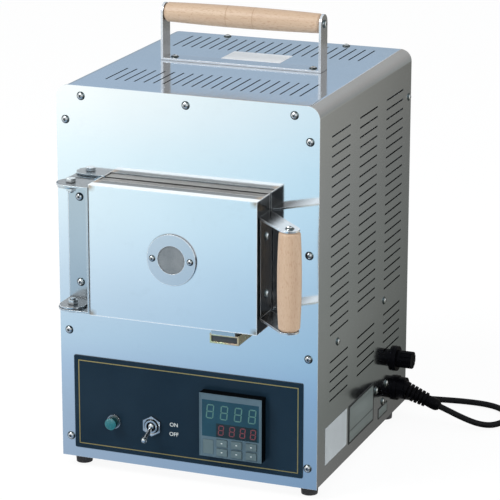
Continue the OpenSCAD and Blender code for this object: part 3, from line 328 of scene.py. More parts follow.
def plastic(name, color, rough, grain=900.0, depth=0.12, variation=0.12, edge=0.0003, painted_shade_from=None,
            **sockets):
    """Moulded plastic or rubber: fine skin texture, uneven sheen; near-black painted shade behind a depth."""
    s = Shade(name, color, 0.0, rough, **sockets)
    if edge:
        s.round_edges(edge)
    cloud = s.noise(22.0, 4.0)
    tone = s.ramp(cloud, [(0.3, tuple(c * (1 - variation) for c in color)),
                          (0.7, tuple(min(1, c * (1 + variation)) for c in color))])
    # Painted shade: behind this depth the colour is near black and the specular level low.
    if painted_shade_from is not None:
        deep = s.math("GREATER_THAN", s.xyz()[1], painted_shade_from)
        tone = s.mix(deep, tone, (0.001, 0.0015, 0.002))
        s.link(s.math("MULTIPLY_ADD", deep, -0.46, 0.5), s.bsdf.inputs["Specular IOR Level"])
    s.color(tone)
    skin = s.noise(grain, 2.0)
    s.rough(s.math("ADD", s.grey(cloud, rough * 0.85, rough * 1.15), s.grey(skin, 0.0, 0.06)))
    s.bump(skin, depth, 0.0002)
    return s.mat


def door_shade(s, tint, wall_x=0.0957, wall_z=0.0722):
    """The door's walls: a painted highlight along the front edge on top and below with painted shade
    behind it, a painted dark reflection down the sides, and a brown heat tint in the corners."""
    out = s.xyz()
    middle = A(0, 0, DOOR_MID_Z)
    flat = s.math("ABSOLUTE", s.math("SUBTRACT", out[2], middle.z))
    fold = s.math("GREATER_THAN", flat, wall_z)
    # Painted highlight at the front of the top and bottom walls, fading to painted shade further back.
    back = s.ramp(s.math("MULTIPLY", s.math("SUBTRACT", out[1], A(0, DOOR_FRONT_Y, 0).y), 1 / 0.04),
                  [(0.0, (0.96, 0.97, 0.97)), (0.23, (0.92, 0.93, 0.93)), (0.29, (0.16, 0.168, 0.172)),
                   (0.6, (0.055, 0.055, 0.053))])
    tint = s.mix(fold, tint, back)
    # Painted highlight band along the front fold, bleached near white in sheet_metal.
    s.band = s.math("MULTIPLY", fold, s.math("LESS_THAN", out[1], A(0, DOOR_FOLD_Y, 0).y))
    across = s.math("ABSOLUTE", s.math("SUBTRACT", out[0], middle.x))
    corner = s.math("MULTIPLY", s.grey(s.math("MULTIPLY", across, 10.0), 0.0, 1.0, 0.875, 0.935),
                    s.grey(s.math("MULTIPLY", flat, 10.0), 0.0, 0.75, 0.645, 0.70))
    tint = s.mix(corner, tint, (0.42, 0.27, 0.15))
    # Painted dark reflection: the steel side walls are painted near black.
    side = s.math("GREATER_THAN", across, wall_x)
    return s.mix(side, tint, (0.016, 0.017, 0.018))


def ear_shade(s, tint):
    """Painted shade: the hinge's level ears are painted darker than its upright faces."""
    n = s.xyz(s.node("ShaderNodeTexCoord").outputs["Normal"])
    level = s.math("GREATER_THAN", s.math("ABSOLUTE", n[2]), 0.9)
    return s.mix(level, tint, (0.26, 0.27, 0.28))


def handle_shade(s, tint):
    """The handle strip is dull where it lies in the door's shade, and bright towards the grip."""
    out = s.math("MULTIPLY", s.math("SUBTRACT", s.xyz()[0], A(98.2, 0, 0).x), 1 / 0.05)
    return s.mix(s.grey(out, 1.0, 0.0, 0.16, 0.6), tint, (0.03, 0.03, 0.032))


def cover_shade(s, tint):
    """The narrow line of shade where the cover runs in behind the front panel."""
    front = s.math("LESS_THAN", s.xyz()[1], A(0, 3.4, 0).y)
    return s.mix(front, tint, (0.035, 0.05, 0.06))


# The blue cast of these steel tints is partly the metal's own and partly a painted reflection of blue
# surroundings.
STEEL = (0.86, 0.92, 0.96)
UPRIGHT, LEVEL_Y, LEVEL_Z = (0.15, 0.15, 2.0), (1.0, 0.1, 1.0), (1.0, 1.0, 0.08)  # how the hairlines run
polished = sheet_metal("polished_steel", STEEL, 0.07, 0.015, UPRIGHT, dirt=0.05, edge_highlight=0.0005, seam=0.003)
door_steel = sheet_metal("door_steel", STEEL, 0.07, 0.02, UPRIGHT, dirt=0.08, edge_highlight=0.0022, seam=0.0025,
                         shade=door_shade)
cover_steel = sheet_metal("cover_steel", (0.70, 0.76, 0.82), 0.1, 0.03, LEVEL_Y, dirt=0.08, seam=0.002,
                          shade=cover_shade)
plain_steel = sheet_metal("plain_steel", (0.42, 0.43, 0.44), 0.38, 0.06, (1.0, 0.08, 1.0), dirt=0.15)
hot_steel = sheet_metal("door_liner_steel", (0.16, 0.15, 0.14), 0.42, 0.12, (1.0, 1.0, 0.1), dirt=0.3)


def strip(name, color, edge_highlight, seam, shade=None):
    """Thick steel strip with rounded edges."""
    return sheet_metal(name, color, 0.16, 0.04, LEVEL_Z, dirt=0.08, edge=0.0003, edge_highlight=edge_highlight, seam=seam,
                       wave=0.0, shade=shade)


strip_steel = strip("strip_steel", (0.52, 0.60, 0.65), 0.001, 0.003)
hinge_steel = strip("hinge_steel", (0.50, 0.57, 0.62), 0.0008, 0.004, ear_shade)
handle_steel = strip("handle_steel", (0.70, 0.74, 0.78), 0.0008, 0.003, handle_shade)
ring_steel = sheet_metal("ring_steel", (0.66, 0.70, 0.75), 0.14, 0.04, dirt=0.08, edge=0.0003, edge_highlight=0.0009,
                         seam=0.0015, wave=0.0)


def screw_metal():
    """Bright screws: light crowns, with painted shade where the dome turns down to its rim and in the socket.
    """
    s = Shade("screw_steel", (0.66, 0.70, 0.72), 1.0, 0.16)
    s.round_edges(0.0002)
    cloud = s.noise(90.0, 4.0)
    tint = s.ramp(cloud, [(0.3, (0.58, 0.62, 0.64)), (0.7, (0.74, 0.77, 0.79))])
    n = s.xyz(s.node("ShaderNodeTexCoord").outputs["Normal"])
    most = s.math("MAXIMUM", s.math("ABSOLUTE", n[0]), s.math("MAXIMUM", s.math("ABSOLUTE", n[1]),
                                                              s.math("ABSOLUTE", n[2])))
    # Painted shade: dark where the dome's normal turns away from the screw's axis, and in the socket and
    # round its foot.
    tint = s.mix(s.grey(most, 1.0, 0.0, 0.74, 0.9), tint, (0.05, 0.07, 0.075))
    s.color(s.mix(s.seam(0.0022, 0.45, 0.9), tint, (0.03, 0.04, 0.045)))
    s.rough(s.grey(cloud, 0.12, 0.24))
    s.bump(s.noise(600.0), 0.08, 0.0002)
    return s.mat


screw_steel = screw_metal()


def wood(name, axis, grooves=()):
    """Turned beech: pale ground, growth streaks along the axis, short dark flecks, a sheen rubbed up by use.
    A groove is given by its place along the axis and its half width."""
    s = Shade(name, (0.55, 0.40, 0.28), 0.0, 0.5, Coat_Weight=0.06, Coat_Roughness=0.35)
    along = tuple(0.06 if k == axis else 1.0 for k in "XYZ")
    fleck_map = tuple(0.25 if k == axis else 1.0 for k in "XYZ")
    streak = s.noise(130.0, 5.0, 0.6, s.mapped(along), 0.4)
    broad = s.noise(28.0, 3.0, 0.5, s.mapped(along), 0.8)
    ground = s.ramp(broad, [(0.25, (0.49, 0.33, 0.22)), (0.5, (0.56, 0.41, 0.28)),
                            (0.75, (0.62, 0.47, 0.34))])
    fine = s.ramp(streak, [(0.35, (0.50, 0.34, 0.23)), (0.62, (0.60, 0.45, 0.32))])
    tone = s.mix(0.45, ground, fine)
    fleck = s.noise(1000.0, 2.0, 0.5, s.mapped(fleck_map))
    marks = s.grey(fleck, 0.0, 0.5, 0.54, 0.66)
    tone = s.mix(marks, tone, (0.40, 0.23, 0.14))
    height = s.grey(streak, 0.35, 1.0)
    if grooves:
        place = s.xyz()["XYZ".index(axis)]
        cut = None
        for at, half in grooves:
            off = s.math("ABSOLUTE", s.math("SUBTRACT", place, at))
            one = s.math("SUBTRACT", 1.0, s.math("DIVIDE", off, half), clamp=True)
            cut = one if cut is None else s.math("ADD", cut, one, clamp=True)
        tone = s.mix(s.math("MULTIPLY", cut, 0.6), tone, (0.33, 0.19, 0.1))
        height = s.math("SUBTRACT", height, s.math("MULTIPLY", cut, 3.0))
    s.color(tone)
    s.rough(s.math("ADD", s.grey(streak, 0.36, 0.5), s.math("MULTIPLY", marks, 0.2)))
    s.bump(height, 0.3, 0.0003)
    return s.mat


wood_upright = wood("wood_door_grip", "Z")
wood_level = wood("wood_carrying_grip", "X",
                  [(A(-17, 0, 0).x, 0.0007), (A(14.5, 0, 0).x, 0.0007)])


def brick(name, color):
    """Light insulating brick: chalky, with open pores and a little scorching."""
    s = Shade(name, color, 0.0, 0.95)
    pore = s.node("ShaderNodeTexVoronoi")
    pore.inputs["Scale"].default_value = 420.0
    s.link(s.pos, pore.inputs["Vector"])
    holes = s.grey(pore.outputs["Distance"], 0.0, 1.0, 0.08, 0.35)
    cloud = s.noise(16.0, 5.0)
    base = s.ramp(cloud, [(0.3, tuple(c * 0.86 for c in color)), (0.7, color)])
    s.color(s.mix(holes, tuple(c * 0.55 for c in color), base))
    s.rough(s.grey(cloud, 0.88, 1.0))
    s.bump(holes, 0.5, 0.0005)
    s.bump(s.noise(180.0, 4.0), 0.3, 0.0006)
    return s.mat


brick_mat = brick("insulating_brick", (0.82, 0.76, 0.66))
fibre_mat = brick("ceramic_fibre", (0.88, 0.86, 0.8))


def enamel():
    """Glossy dark plate: deep navy lacquer with faint cloud and dust."""
    s = Shade("plate_enamel", (0.008, 0.022, 0.038), 0.0, 0.14, Specular_IOR_Level=0.2)
    cloud = s.noise(9.0, 4.0)
    s.color(s.ramp(cloud, [(0.3, (0.006, 0.018, 0.032)), (0.7, (0.011, 0.027, 0.045))]))
    dust = s.noise(240.0, 6.0, 0.7)
    s.rough(s.math("ADD", s.grey(cloud, 0.09, 0.16), s.grey(dust, 0.0, 0.12, 0.6, 0.8)))
    s.bump(dust, 0.04, 0.0002)
    return s.mat


enamel_mat = enamel()
controller_mat = plastic("controller_plastic", (0.07, 0.125, 0.16), 0.42, 700.0, 0.15,
                         painted_shade_from=A(0, -12.75, 0).y)
window_mat = plastic("display_window", (0.006, 0.045, 0.07), 0.1, 300.0, 0.02, 0.2, 0.0, Coat_Weight=0.3,
                     Coat_Roughness=0.03)
window_dark_mat = plastic("display_window_dark", (0.006, 0.018, 0.022), 0.14, 300.0, 0.02, 0.2, 0.0)
key_mat = plastic("key_rubber", (0.085, 0.135, 0.15), 0.6, 900.0, 0.2)
mark_mat = plastic("printed_marks", (0.62, 0.68, 0.68), 0.55, 900.0, 0.05, 0.08, 0.0)
black_plastic = plastic("black_plastic", (0.002, 0.002, 0.003), 0.3, 800.0, 0.15, 0.3,
                        Specular_IOR_Level=0.04)
rubber_mat = plastic("foot_rubber", (0.02, 0.02, 0.022), 0.72, 600.0, 0.3, 0.3)
cord_mat = plastic("cord_rubber", (0.008, 0.008, 0.009), 0.5, 1200.0, 0.2, 0.3, 0.0,
                   Specular_IOR_Level=0.08)
terminal_mat = plastic("terminal_plastic", (0.55, 0.5, 0.42), 0.5, 600.0, 0.12)
magnet_mat = plastic("magnet_black", (0.05, 0.058, 0.064), 0.38, 500.0, 0.3, 0.35)
label_mat = plastic("blank_label", (0.46, 0.50, 0.52), 0.5, 300.0, 0.06, 0.08, 0.0)
top_label_mat = plastic("blank_top_label", (0.88, 0.92, 0.95), 0.5, 300.0, 0.06, 0.05, 0.0)
label_edge_mat = plastic("label_border", (0.008, 0.012, 0.014), 0.4, 300.0, 0.06, 0.2, 0.0)
gold_mat = sheet_metal("pinstripe_gold", (0.55, 0.40, 0.16), 0.3, 0.12, dirt=0.2)
tie_mat = plastic("cord_tie", (0.03, 0.03, 0.034), 0.65, 500.0, 0.4, 0.3, 0.0)


def yellow_passivated():
    """Zinc plate with the drifting yellow, green and pink of passivation."""
    s = Shade("yellow_passivated", (0.72, 0.66, 0.4), 1.0, 0.26)
    s.round_edges(0.0004)
    drift = s.noise(70.0, 3.0, 0.5, None, 0.8)
    s.color(s.ramp(drift, [(0.28, (0.62, 0.66, 0.36)), (0.45, (0.82, 0.80, 0.48)),
                           (0.58, (0.80, 0.62, 0.36)), (0.75, (0.76, 0.50, 0.42))]))
    s.rough(s.grey(s.noise(90.0), 0.2, 0.36))
    s.bump(s.noise(500.0), 0.1, 0.0002)
    return s.mat


def lamp_lens():
    """Teal lamp cap: moulded with fine ribs round its side."""
    s = Shade("lamp_lens", (0.01, 0.17, 0.17), 0.0, 0.18, Transmission_Weight=0.2, IOR=1.49, Coat_Weight=0.4)
    out = s.xyz()
    middle = A(-86.5, 0, 47.5)
    dx = s.math("SUBTRACT", out[0], middle.x)
    dz = s.math("SUBTRACT", out[2], middle.z)
    turn_fac = s.math("MULTIPLY", s.math("ARCTAN2", dz, dx), 30.0)
    rib = s.math("MULTIPLY", s.math("SINE", turn_fac), 0.5)
    cloud = s.noise(120.0)
    face = s.math("LESS_THAN", out[1], A(0, -11.6, 0).y)
    side = s.ramp(cloud, [(0.3, (0.004, 0.045, 0.05)), (0.7, (0.008, 0.08, 0.085))])
    s.color(s.mix(face, side, (0.006, 0.17, 0.20)))
    s.rough(s.grey(cloud, 0.12, 0.26))
    s.bump(rib, 0.4, 0.0003)
    return s.mat


def sight_glass():
    """Mica-like sight glass: grey, faintly frosted, slightly see-through."""
    s = Shade("sight_glass", (0.26, 0.29, 0.31), 0.0, 0.18, Transmission_Weight=0.3, IOR=1.5)
    cloud = s.noise(60.0, 5.0)
    s.color(s.ramp(cloud, [(0.3, (0.22, 0.25, 0.27)), (0.7, (0.30, 0.33, 0.35))]))
    s.rough(s.grey(cloud, 0.14, 0.3))
    s.bump(s.noise(200.0), 0.05, 0.0002)
    return s.mat


def coil_wire():
    """Oxidised heating wire."""
    s = Shade("element_wire", (0.16, 0.13, 0.11), 0.7, 0.6)
    cloud = s.noise(90.0)
    s.color(s.ramp(cloud, [(0.3, (0.10, 0.08, 0.07)), (0.7, (0.24, 0.19, 0.15))]))
    s.rough(s.grey(cloud, 0.5, 0.75))
    s.bump(s.noise(600.0), 0.3, 0.0002)
    return s.mat


def aluminium():
    """Dull rating plate with brushed hairlines."""
    s = Shade("label_aluminium", (0.20, 0.24, 0.235), 0.25, 0.34)
    hair = s.noise(300.0, 3.0, 0.6, s.mapped((1, 0.05, 1)))
    s.color(s.ramp(hair, [(0.3, (0.16, 0.19, 0.185)), (0.7, (0.24, 0.28, 0.275))]))
    s.rough(s.grey(hair, 0.28, 0.42))
    s.bump(hair, 0.1, 0.0002)
    return s.mat


def digit(name, color, strength):
    """Unlit display segments, given a faint painted glow though they give no light."""
    s = Shade(name, color, 0.0, 0.35)
    glow = s.noise(400.0)
    tone = s.ramp(glow, [(0.3, tuple(c * 0.8 for c in color)), (0.7, color)])
    s.color(tone)
    s.link(tone, s.bsdf.inputs["Emission Color"])
    s.bsdf.inputs["Emission Strength"].default_value = strength
    s.rough(s.grey(glow, 0.3, 0.45))
    s.bump(glow, 0.05, 0.0001)
    return s.mat


yellow_mat = yellow_passivated()
lens_mat = lamp_lens()
glass_mat = sight_glass()
wire_mat = coil_wire()
aluminium_mat = aluminium()
green_mat = digit("digits_green", (0.07, 0.18, 0.16), 0.1)
red_mat = digit("digits_red", (0.17, 0.035, 0.045), 0.12)

finish = {
    polished: ["front_panel"],
    door_steel: ["door_pan"],
    ring_steel: ["peephole_ring", "carry_strip"],
    cover_steel: ["wrap_cover"],
    plain_steel: ["base_tray", "back_panel", "inner_shelf", "chamber_case", "terminal_bracket", "heat_sink"],
    hot_steel: ["door_liner"],
    strip_steel: ["catch_strike"],
    hinge_steel: ["door_bracket", "hinge_bracket"],
    handle_steel: ["handle_strip"],
    screw_steel: ["panel_screws", "casing_screws", "door_screws", "grip_screws", "carry_screws",
                  "hinge_bolts", "lamp_body", "switch_body", "switch_nut", "switch_lever"],
    wood_upright: ["handle_grip"],
    wood_level: ["carry_grip"],
    rubber_mat: ["rubber_feet"],
    brick_mat: ["floor_brick", "roof_brick", "left_brick", "right_brick", "back_brick_block",
                "temperature_probe"],
    fibre_mat: ["door_insulation", "door_seal"],
    enamel_mat: ["control_plate"],
    controller_mat: ["controller_case"],
    window_mat: ["controller_window"],
    key_mat: [f"key_{i}" for i in range(1, 7)],
    lens_mat: ["lamp_cap"],
    black_plastic: ["power_relay", "fuse_holder", "fuse_cap", "cord_gland", "cord_relief"],
    terminal_mat: ["terminal_block"],
    glass_mat: ["peephole_glass"],
    yellow_mat: ["catch_body"],
    magnet_mat: ["catch_magnet"],
    wire_mat: ["heating_coils"],
    cord_mat: ["power_cord", "cord_coil", "mains_plug"],
}
for material, names in finish.items():
    for name in names:
        N[name].data.materials.clear()
        N[name].data.materials.append(material)


# ---------------------------------------------------------------- cord, its tie and plug
def between(a, b, c, d, t):
    """Catmull-Rom: the point between b and c."""
    return 0.5 * (2 * b + (c - a) * t + (2 * a - 5 * b + 4 * c - d) * t * t
                  + (3 * b - a - 3 * c + d) * t ** 3)


def smooth_line(points, steps):
    """A smooth curve through the points, as many steps long between two of them."""
    last = len(points) - 1
    out = []
    for i in range(last):
        p = [points[max(0, min(last, i + k))] for k in (-1, 0, 1, 2)]
        out += [between(*p, s / steps) for s in range(steps)]
    return out + [points[last]]


CORD_R = 0.0035
COIL_TURNS, COIL_MIN, COIL_GROW = 6, 0.030, 0.0075
COIL_OUT = COIL_MIN + COIL_GROW * COIL_TURNS / 2
COIL_LIFT = 0.0075  # the upper turns lie this much higher
tilt = math.radians(20)  # the strain relief points this much down
slope = Vector((math.cos(tilt), 0, -math.sin(tilt)))
relief_tip = A(158, 272, 28) + slope * 0.048
floor_points = [
    (231, 273, 1), (247, 277, -5), (260, 286, -8.6), (269, 300, -9.4), (272, 318, -9.4), (265, 336, -9.4),
    (251, 349, -9.4), (232, 355, -9.4), (208, 355, -9.4), (180, 351, -9.4), (150, 346, -9.4),
    (120, 343, -9.4), (90, 342, -9.4), (60, 342.4, -9.4),
]
coil_middle = A(20, 395, -9.45)
coil_start = coil_middle + Vector((0, -COIL_OUT, 0))
route = [relief_tip, relief_tip + slope * 0.007, relief_tip + slope * 0.014]
route += [A(*p) for p in floor_points]
route += [coil_start + Vector((0.007 * k, 0, 0)) for k in (3, 2, 1)]


def coil_point(turns):
    """A point of the flat coil: it winds inwards on the floor, climbs, and winds outwards above."""
    deg = turns * 360
    radius = COIL_MIN + COIL_GROW * abs(1080 - deg) / 360
    climbed = max(0.0, min(1.0, (deg - 990) / 180))
    w = math.radians(deg)
    return coil_middle + Vector((-radius * math.sin(w), -radius * math.cos(w),
                                 COIL_LIFT * (1 - math.cos(math.pi * climbed)) / 2))


line = smooth_line(route, 6)
line += [coil_point(i / 48) for i in range(COIL_TURNS * 48 + 1)]
plug_at = coil_point(COIL_TURNS) - Vector((0.046, 0, 0))
line += [coil_point(COIL_TURNS) - Vector((0.023, 0, 0)), plug_at]
cord = link(sweep("cord", line, CORD_R, 14), "casing", cord_mat, 60)
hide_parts("power_cord", "cord_coil")
cord.visible_glossy = False  # the photo's steel doesn't mirror the cord


def oval(angle, half_w, half_h, power):
    """A point of a rounded rectangle round the origin; a power of 1 gives an ellipse."""
    c, s = math.cos(angle), math.sin(angle)
    return half_w * math.copysign(abs(c) ** power, c), half_h * math.copysign(abs(s) ** power, s)


def tie_piece(sides=28, half_w=0.005, thick=0.0006):
    """A flat band round the coil's right half."""
    middle = coil_middle + Vector((COIL_MIN + COIL_GROW * COIL_TURNS / 4, 0, 0))
    middle.z = 0.0079
    bm = bmesh.new()
    rings = []
    for i in range(sides):
        x, z = oval(2 * math.pi * i / sides, 0.0170, 0.0073, 0.6)
        place = middle + Vector((x, 0, z))
        out = (place - middle).normalized() * thick
        rings.append([bm.verts.new(place + Vector((0, dy, 0)) + out * k)
                      for dy, k in ((-half_w, 0), (half_w, 0), (half_w, 1), (-half_w, 1))])
    for i, ring in enumerate(rings):
        after = rings[(i + 1) % len(rings)]
        for k in range(4):
            bm.faces.new((ring[k], ring[(k + 1) % 4], after[(k + 1) % 4], after[k]))
    return from_bmesh("cord_tie", bm, True)


tie = link(tie_piece(), "casing", tie_mat, 50)


def plug_piece():
    """Moulded plug body: ribbed relief and a rounded body with a grip recess; its blades and earth pin are
    made apart.
    """
    bm = bmesh.new()
    half_h = plug_at.z
    stations = [(0.0, 0.0048, 0.0048), (0.003, 0.0056, 0.0056), (0.0046, 0.0050, 0.0050),
                (0.0062, 0.0064, 0.0060), (0.0078, 0.0057, 0.0054), (0.0094, 0.0074, 0.0068),
                (0.011, 0.0066, 0.0062), (0.0135, 0.0090, 0.0080), (0.017, 0.0120, half_h - 0.0008),
                (0.022, 0.0136, half_h - 0.0002), (0.030, 0.0126, half_h - 0.0012),
                (0.038, 0.0132, half_h - 0.0006), (0.044, 0.0139, half_h), (0.0492, 0.0139, half_h),
                (0.0500, 0.0131, half_h - 0.0008)]
    sides = 32
    rings = []
    for off, w, h in stations:
        power = 0.55 if off > 0.015 else 1.0
        rings.append([bm.verts.new(plug_at + Vector((-off, *oval(2 * math.pi * k / sides, w, h, power))))
                      for k in range(sides)])
    for a, b in zip(rings, rings[1:]):
        for k in range(sides):
            m = (k + 1) % sides
            bm.faces.new((a[k], b[k], b[m], a[m]))
    bm.faces.new(rings[0])
    bm.faces.new(rings[-1][::-1])
    return from_bmesh("plug", bm, True)


plug = link(plug_piece(), "casing", cord_mat, 40)
tail = (plug_at - A(0, 0, 0)) * MM
pin_x = tail.x - 49.5
pins = [((tail.x - 67, tail.y + off - 0.75, tail.z - 1), (pin_x, tail.y + off + 0.75, tail.z + 5.3))
        for off in (-6.35, 6.35)]
blades = link(boxes("plug_blades", pins, 0.3), "casing", screw_steel, 40)
earth_path = [A(pin_x - k, tail.y, tail.z - 7) for k in (0, 8, 18, 19.2)]
earth = link(sweep("plug_earth_pin", earth_path, 0.0023, 20), "casing", screw_steel, 40)
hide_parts("mains_plug")

# ---------------------------------------------------------------- heating elements as open wire spirals
CHAMBER_LOW, CHAMBER_HIGH, ROWS = 209, 88, 3
WIRE_TURNS, WIRE_STEPS, WIRE_OUT, WIRE_LONG = 34, 12, 2.8, 140.6


def spiral(x, z):
    """One wire spiral along the chamber, centred on its groove."""
    path = []
    for i in range(WIRE_TURNS * WIRE_STEPS + 1):
        w = 2 * math.pi * i / WIRE_STEPS
        path.append(A(x + WIRE_OUT * math.cos(w), 19.5 + 0.7 + WIRE_LONG * i / (WIRE_TURNS * WIRE_STEPS),
                      z + WIRE_OUT * math.sin(w)))
    return sweep("spiral", path, 0.0007, 6)


bm = bmesh.new()
for side in (-1, 1):
    for row in range(ROWS):
        one = spiral(side * 63.5, CHAMBER_LOW + CHAMBER_HIGH * (row + 0.5) / ROWS)
        bm.from_mesh(one.data)
        bpy.data.objects.remove(one)
elements = link(from_bmesh("heating_elements", bm), "casing", wire_mat, 60)
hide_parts("heating_coils")


# ---------------------------------------------------------------- control plate: pinstripe and words
def frame_of(name, low, high, y, width, depth, mat):
    """Four thin strips round a rectangle on a face that looks to the front."""
    x0, z0 = low
    x1, z1 = high
    items = [((x0, y - depth, z0), (x1, y, z0 + width)), ((x0, y - depth, z1 - width), (x1, y, z1)),
             ((x0, y - depth, z0 + width), (x0 + width, y, z1 - width)),
             ((x1 - width, y - depth, z0 + width), (x1, y, z1 - width))]
    obj = link(boxes(name, items), "casing", mat)


frame_of("plate_pinstripe", (-129, 16.5), (129, 114), PLATE_Y, 1.1, 0.12, gold_mat)


def words(name, text, x, z, size):
    """Printed words on the control plate."""
    curve = bpy.data.curves.new(name, "FONT")
    curve.body = text
    curve.size = size / MM
    curve.extrude = 0.00006
    curve.offset = 0.00004
    curve.align_x, curve.align_y = "CENTER", "CENTER"
    obj = bpy.data.objects.new(name, curve)
    obj.matrix_world = Matrix.Translation(A(x, PLATE_Y - 0.06, z)) @ Matrix.Rotation(math.radians(90), 4, "X")
    link(obj, "casing", mark_mat)


words("word_on", "ON", -15.5, 52.5, 6.2)
words("word_off", "OFF", -15.5, 41.7, 6.2)

# ---------------------------------------------------------------- controller face
UNIT_W = 72.0
UNIT_LEFT, UNIT_TOP = 55.5 - UNIT_W / 2, 63 + UNIT_W / 2
FACE_Y, FIELD_Y, KEY_Y = -13.0, -13.06, -14.2


def face_x(u):
    """A share of the face's width, from the left."""
    return UNIT_LEFT + UNIT_W * u


def face_z(v):
    """A share of the face's height, from the top."""
    return UNIT_TOP - UNIT_W * v


def bar(start, end, stroke):
    """The outline of one slanting display bar with pointed ends, in the digit's own x and z."""
    (x0, z0), (x1, z1) = start, end
    n = math.hypot(x1 - x0, z1 - z0)
    dx, dz = (x1 - x0) / n, (z1 - z0) / n
    px, pz = -dz, dx
    h, gap = stroke / 2, stroke * 0.18
    x0, z0, x1, z1 = x0 + dx * gap, z0 + dz * gap, x1 - dx * gap, z1 - dz * gap
    return [(x0, z0), (x0 + dx * h + px * h, z0 + dz * h + pz * h),
            (x1 - dx * h + px * h, z1 - dz * h + pz * h), (x1, z1),
            (x1 - dx * h - px * h, z1 - dz * h - pz * h),
            (x0 + dx * h - px * h, z0 + dz * h - pz * h)]


def eights(name, us, v0, v1, width, stroke, mat, y):
    """A row of seven-segment eights on the display."""
    verts, faces = [], []
    z_top, z_low = face_z(v0), face_z(v1)
    mid = z_low + (z_top - z_low) / 2
    segments = [((0, z_top), (width, z_top)), ((width, z_top), (width, mid)), ((width, mid), (width, z_low)),
                ((0, z_low), (width, z_low)), ((0, mid), (0, z_low)), ((0, z_top), (0, mid)),
                ((0, mid), (width, mid))]
    for u in us:
        left = face_x(u) - width / 2
        for start, end in segments:
            first = len(verts)
            outline = bar(start, end, stroke)
            for depth in (0.0, 0.08):
                verts += [A(left + x + (z - z_low) * 0.09, y - depth, z) for x, z in outline]
            faces.append(tuple(first + i for i in range(6)))
            faces.append(tuple(first + 6 + i for i in reversed(range(6))))
            for i in range(6):
                j = (i + 1) % 6
                faces.append((first + i, first + j, first + 6 + j, first + 6 + i))
    obj = mesh(name, verts, faces)
    bm = bmesh.new()
    bm.from_mesh(obj.data)
    bmesh.ops.recalc_face_normals(bm, faces=bm.faces[:])
    bm.to_mesh(obj.data)
    bm.free()
    link(obj, "casing", mat)


field = link(boxes("display_lower_field", [((face_x(0.27), FIELD_Y, face_z(0.675)),
                                           (face_x(0.93), FACE_Y, face_z(0.458)))]),
             "casing", window_dark_mat)
eights("display_upper_digits", (0.164, 0.39, 0.614, 0.84), 0.175, 0.385, 7.4, 1.25, green_mat, FACE_Y)
eights("display_lower_digits", (0.343, 0.52, 0.69, 0.857), 0.490, 0.635, 5.4, 1.05, red_mat, FIELD_Y)
marks = [((face_x(u) - 0.9, KEY_Y - 0.08, face_z(v) - 0.5), (face_x(u) + 0.9, KEY_Y, face_z(v) + 0.5))
         for u in (0.365, 0.601, 0.837) for v in (0.764, 0.909)]
for i, item in enumerate(marks):
    body = f"key_{(i // 2) + 1 + (i % 2) * 3}_body"
    mark = link(boxes(f"key_mark_{i + 1}", [item], 0.03, 1), body, mark_mat)
blank = link(boxes("controller_blank_pad", [((face_x(0.06), FACE_Y - 0.45, face_z(0.955)),
                                            (face_x(0.225), FACE_Y, face_z(0.73)))], 0.35, 3),
             "casing", key_mat, 40)
frame_of("controller_rim", (face_x(0), face_z(1)), (face_x(1), face_z(0)), FACE_Y + 0.02, 0.9, 0.35,
         controller_mat)


# ---------------------------------------------------------------- blank labels on the cover
def side_plate(name, y0, y1, z0, z1, border, mat, border_mat, proud=0.25):
    """A blank label or plate on the casing's right side, with a border where one is given."""
    x = SIDE_X
    if border:
        items = [((x, y0, z0), (x + proud, y1, z0 + border)), ((x, y0, z1 - border), (x + proud, y1, z1)),
                 ((x, y0, z0 + border), (x + proud, y0 + border, z1 - border)),
                 ((x, y1 - border, z0 + border), (x + proud, y1, z1 - border))]
        link(boxes(name + "_border", items), "casing", border_mat)
    inner = ((x, y0 + border, z0 + border), (x + proud - 0.05, y1 - border, z1 - border))
    link(boxes(name, [inner]), "casing", mat)


side_plate("side_label_front", 29, 99, 18, 60, 0, label_mat, None)
side_plate("side_rating_plate", 106, 191, 15, 60, 2.2, aluminium_mat, label_edge_mat, 0.5)
side_plate("side_small_plate", 209, 241, 9.5, 22, 1.4, aluminium_mat, label_edge_mat, 0.4)
rule = link(boxes("side_rating_plate_rule", [((SIDE_X + 0.4, 108.2, 29.2), (SIDE_X + 0.5, 188.8, 30.2))]),
            "casing", label_edge_mat)
top_label = link(boxes("top_label", [((-35, 186, 421.0), (35, 228, 421.2))]), "casing", top_label_mat)


# ---------------------------------------------------------------- stage, light and what the metal mirrors
def seen_rays(t):
    """1 for rays from the camera, in mirrors and through glass, 0 for the light that falls on things."""
    rays = t.nodes.new("ShaderNodeLightPath")
    seen = rays.outputs["Is Camera Ray"]
    for kind in ("Is Glossy Ray", "Is Transmission Ray"):
        either = t.nodes.new("ShaderNodeMath")
        either.operation = "MAXIMUM"
        t.links.new(seen, either.inputs[0])
        t.links.new(rays.outputs[kind], either.inputs[1])
        seen = either.outputs[0]
    return seen


def blend(t, share, unseen, seen, out):
    """Show one shader to lighting rays and the other to seen rays."""
    mixer = t.nodes.new("ShaderNodeMixShader")
    for i, value in enumerate((share, unseen.outputs[0], seen.outputs[0])):
        t.links.new(value, mixer.inputs[i])
    t.links.new(mixer.outputs[0], out.inputs[0])


def emptied(owner):
    """The owner's node tree, with nothing in it."""
    owner.use_nodes = True
    owner.node_tree.nodes.clear()
    return owner.node_tree


def shader(t, kind, color, strength=None):
    """A bare shader node of one colour."""
    n = t.nodes.new(kind)
    n.inputs["Color"].default_value = (*color, 1)
    if strength is not None:
        n.inputs["Strength"].default_value = strength
    return n


WHITE = (1, 1, 1)


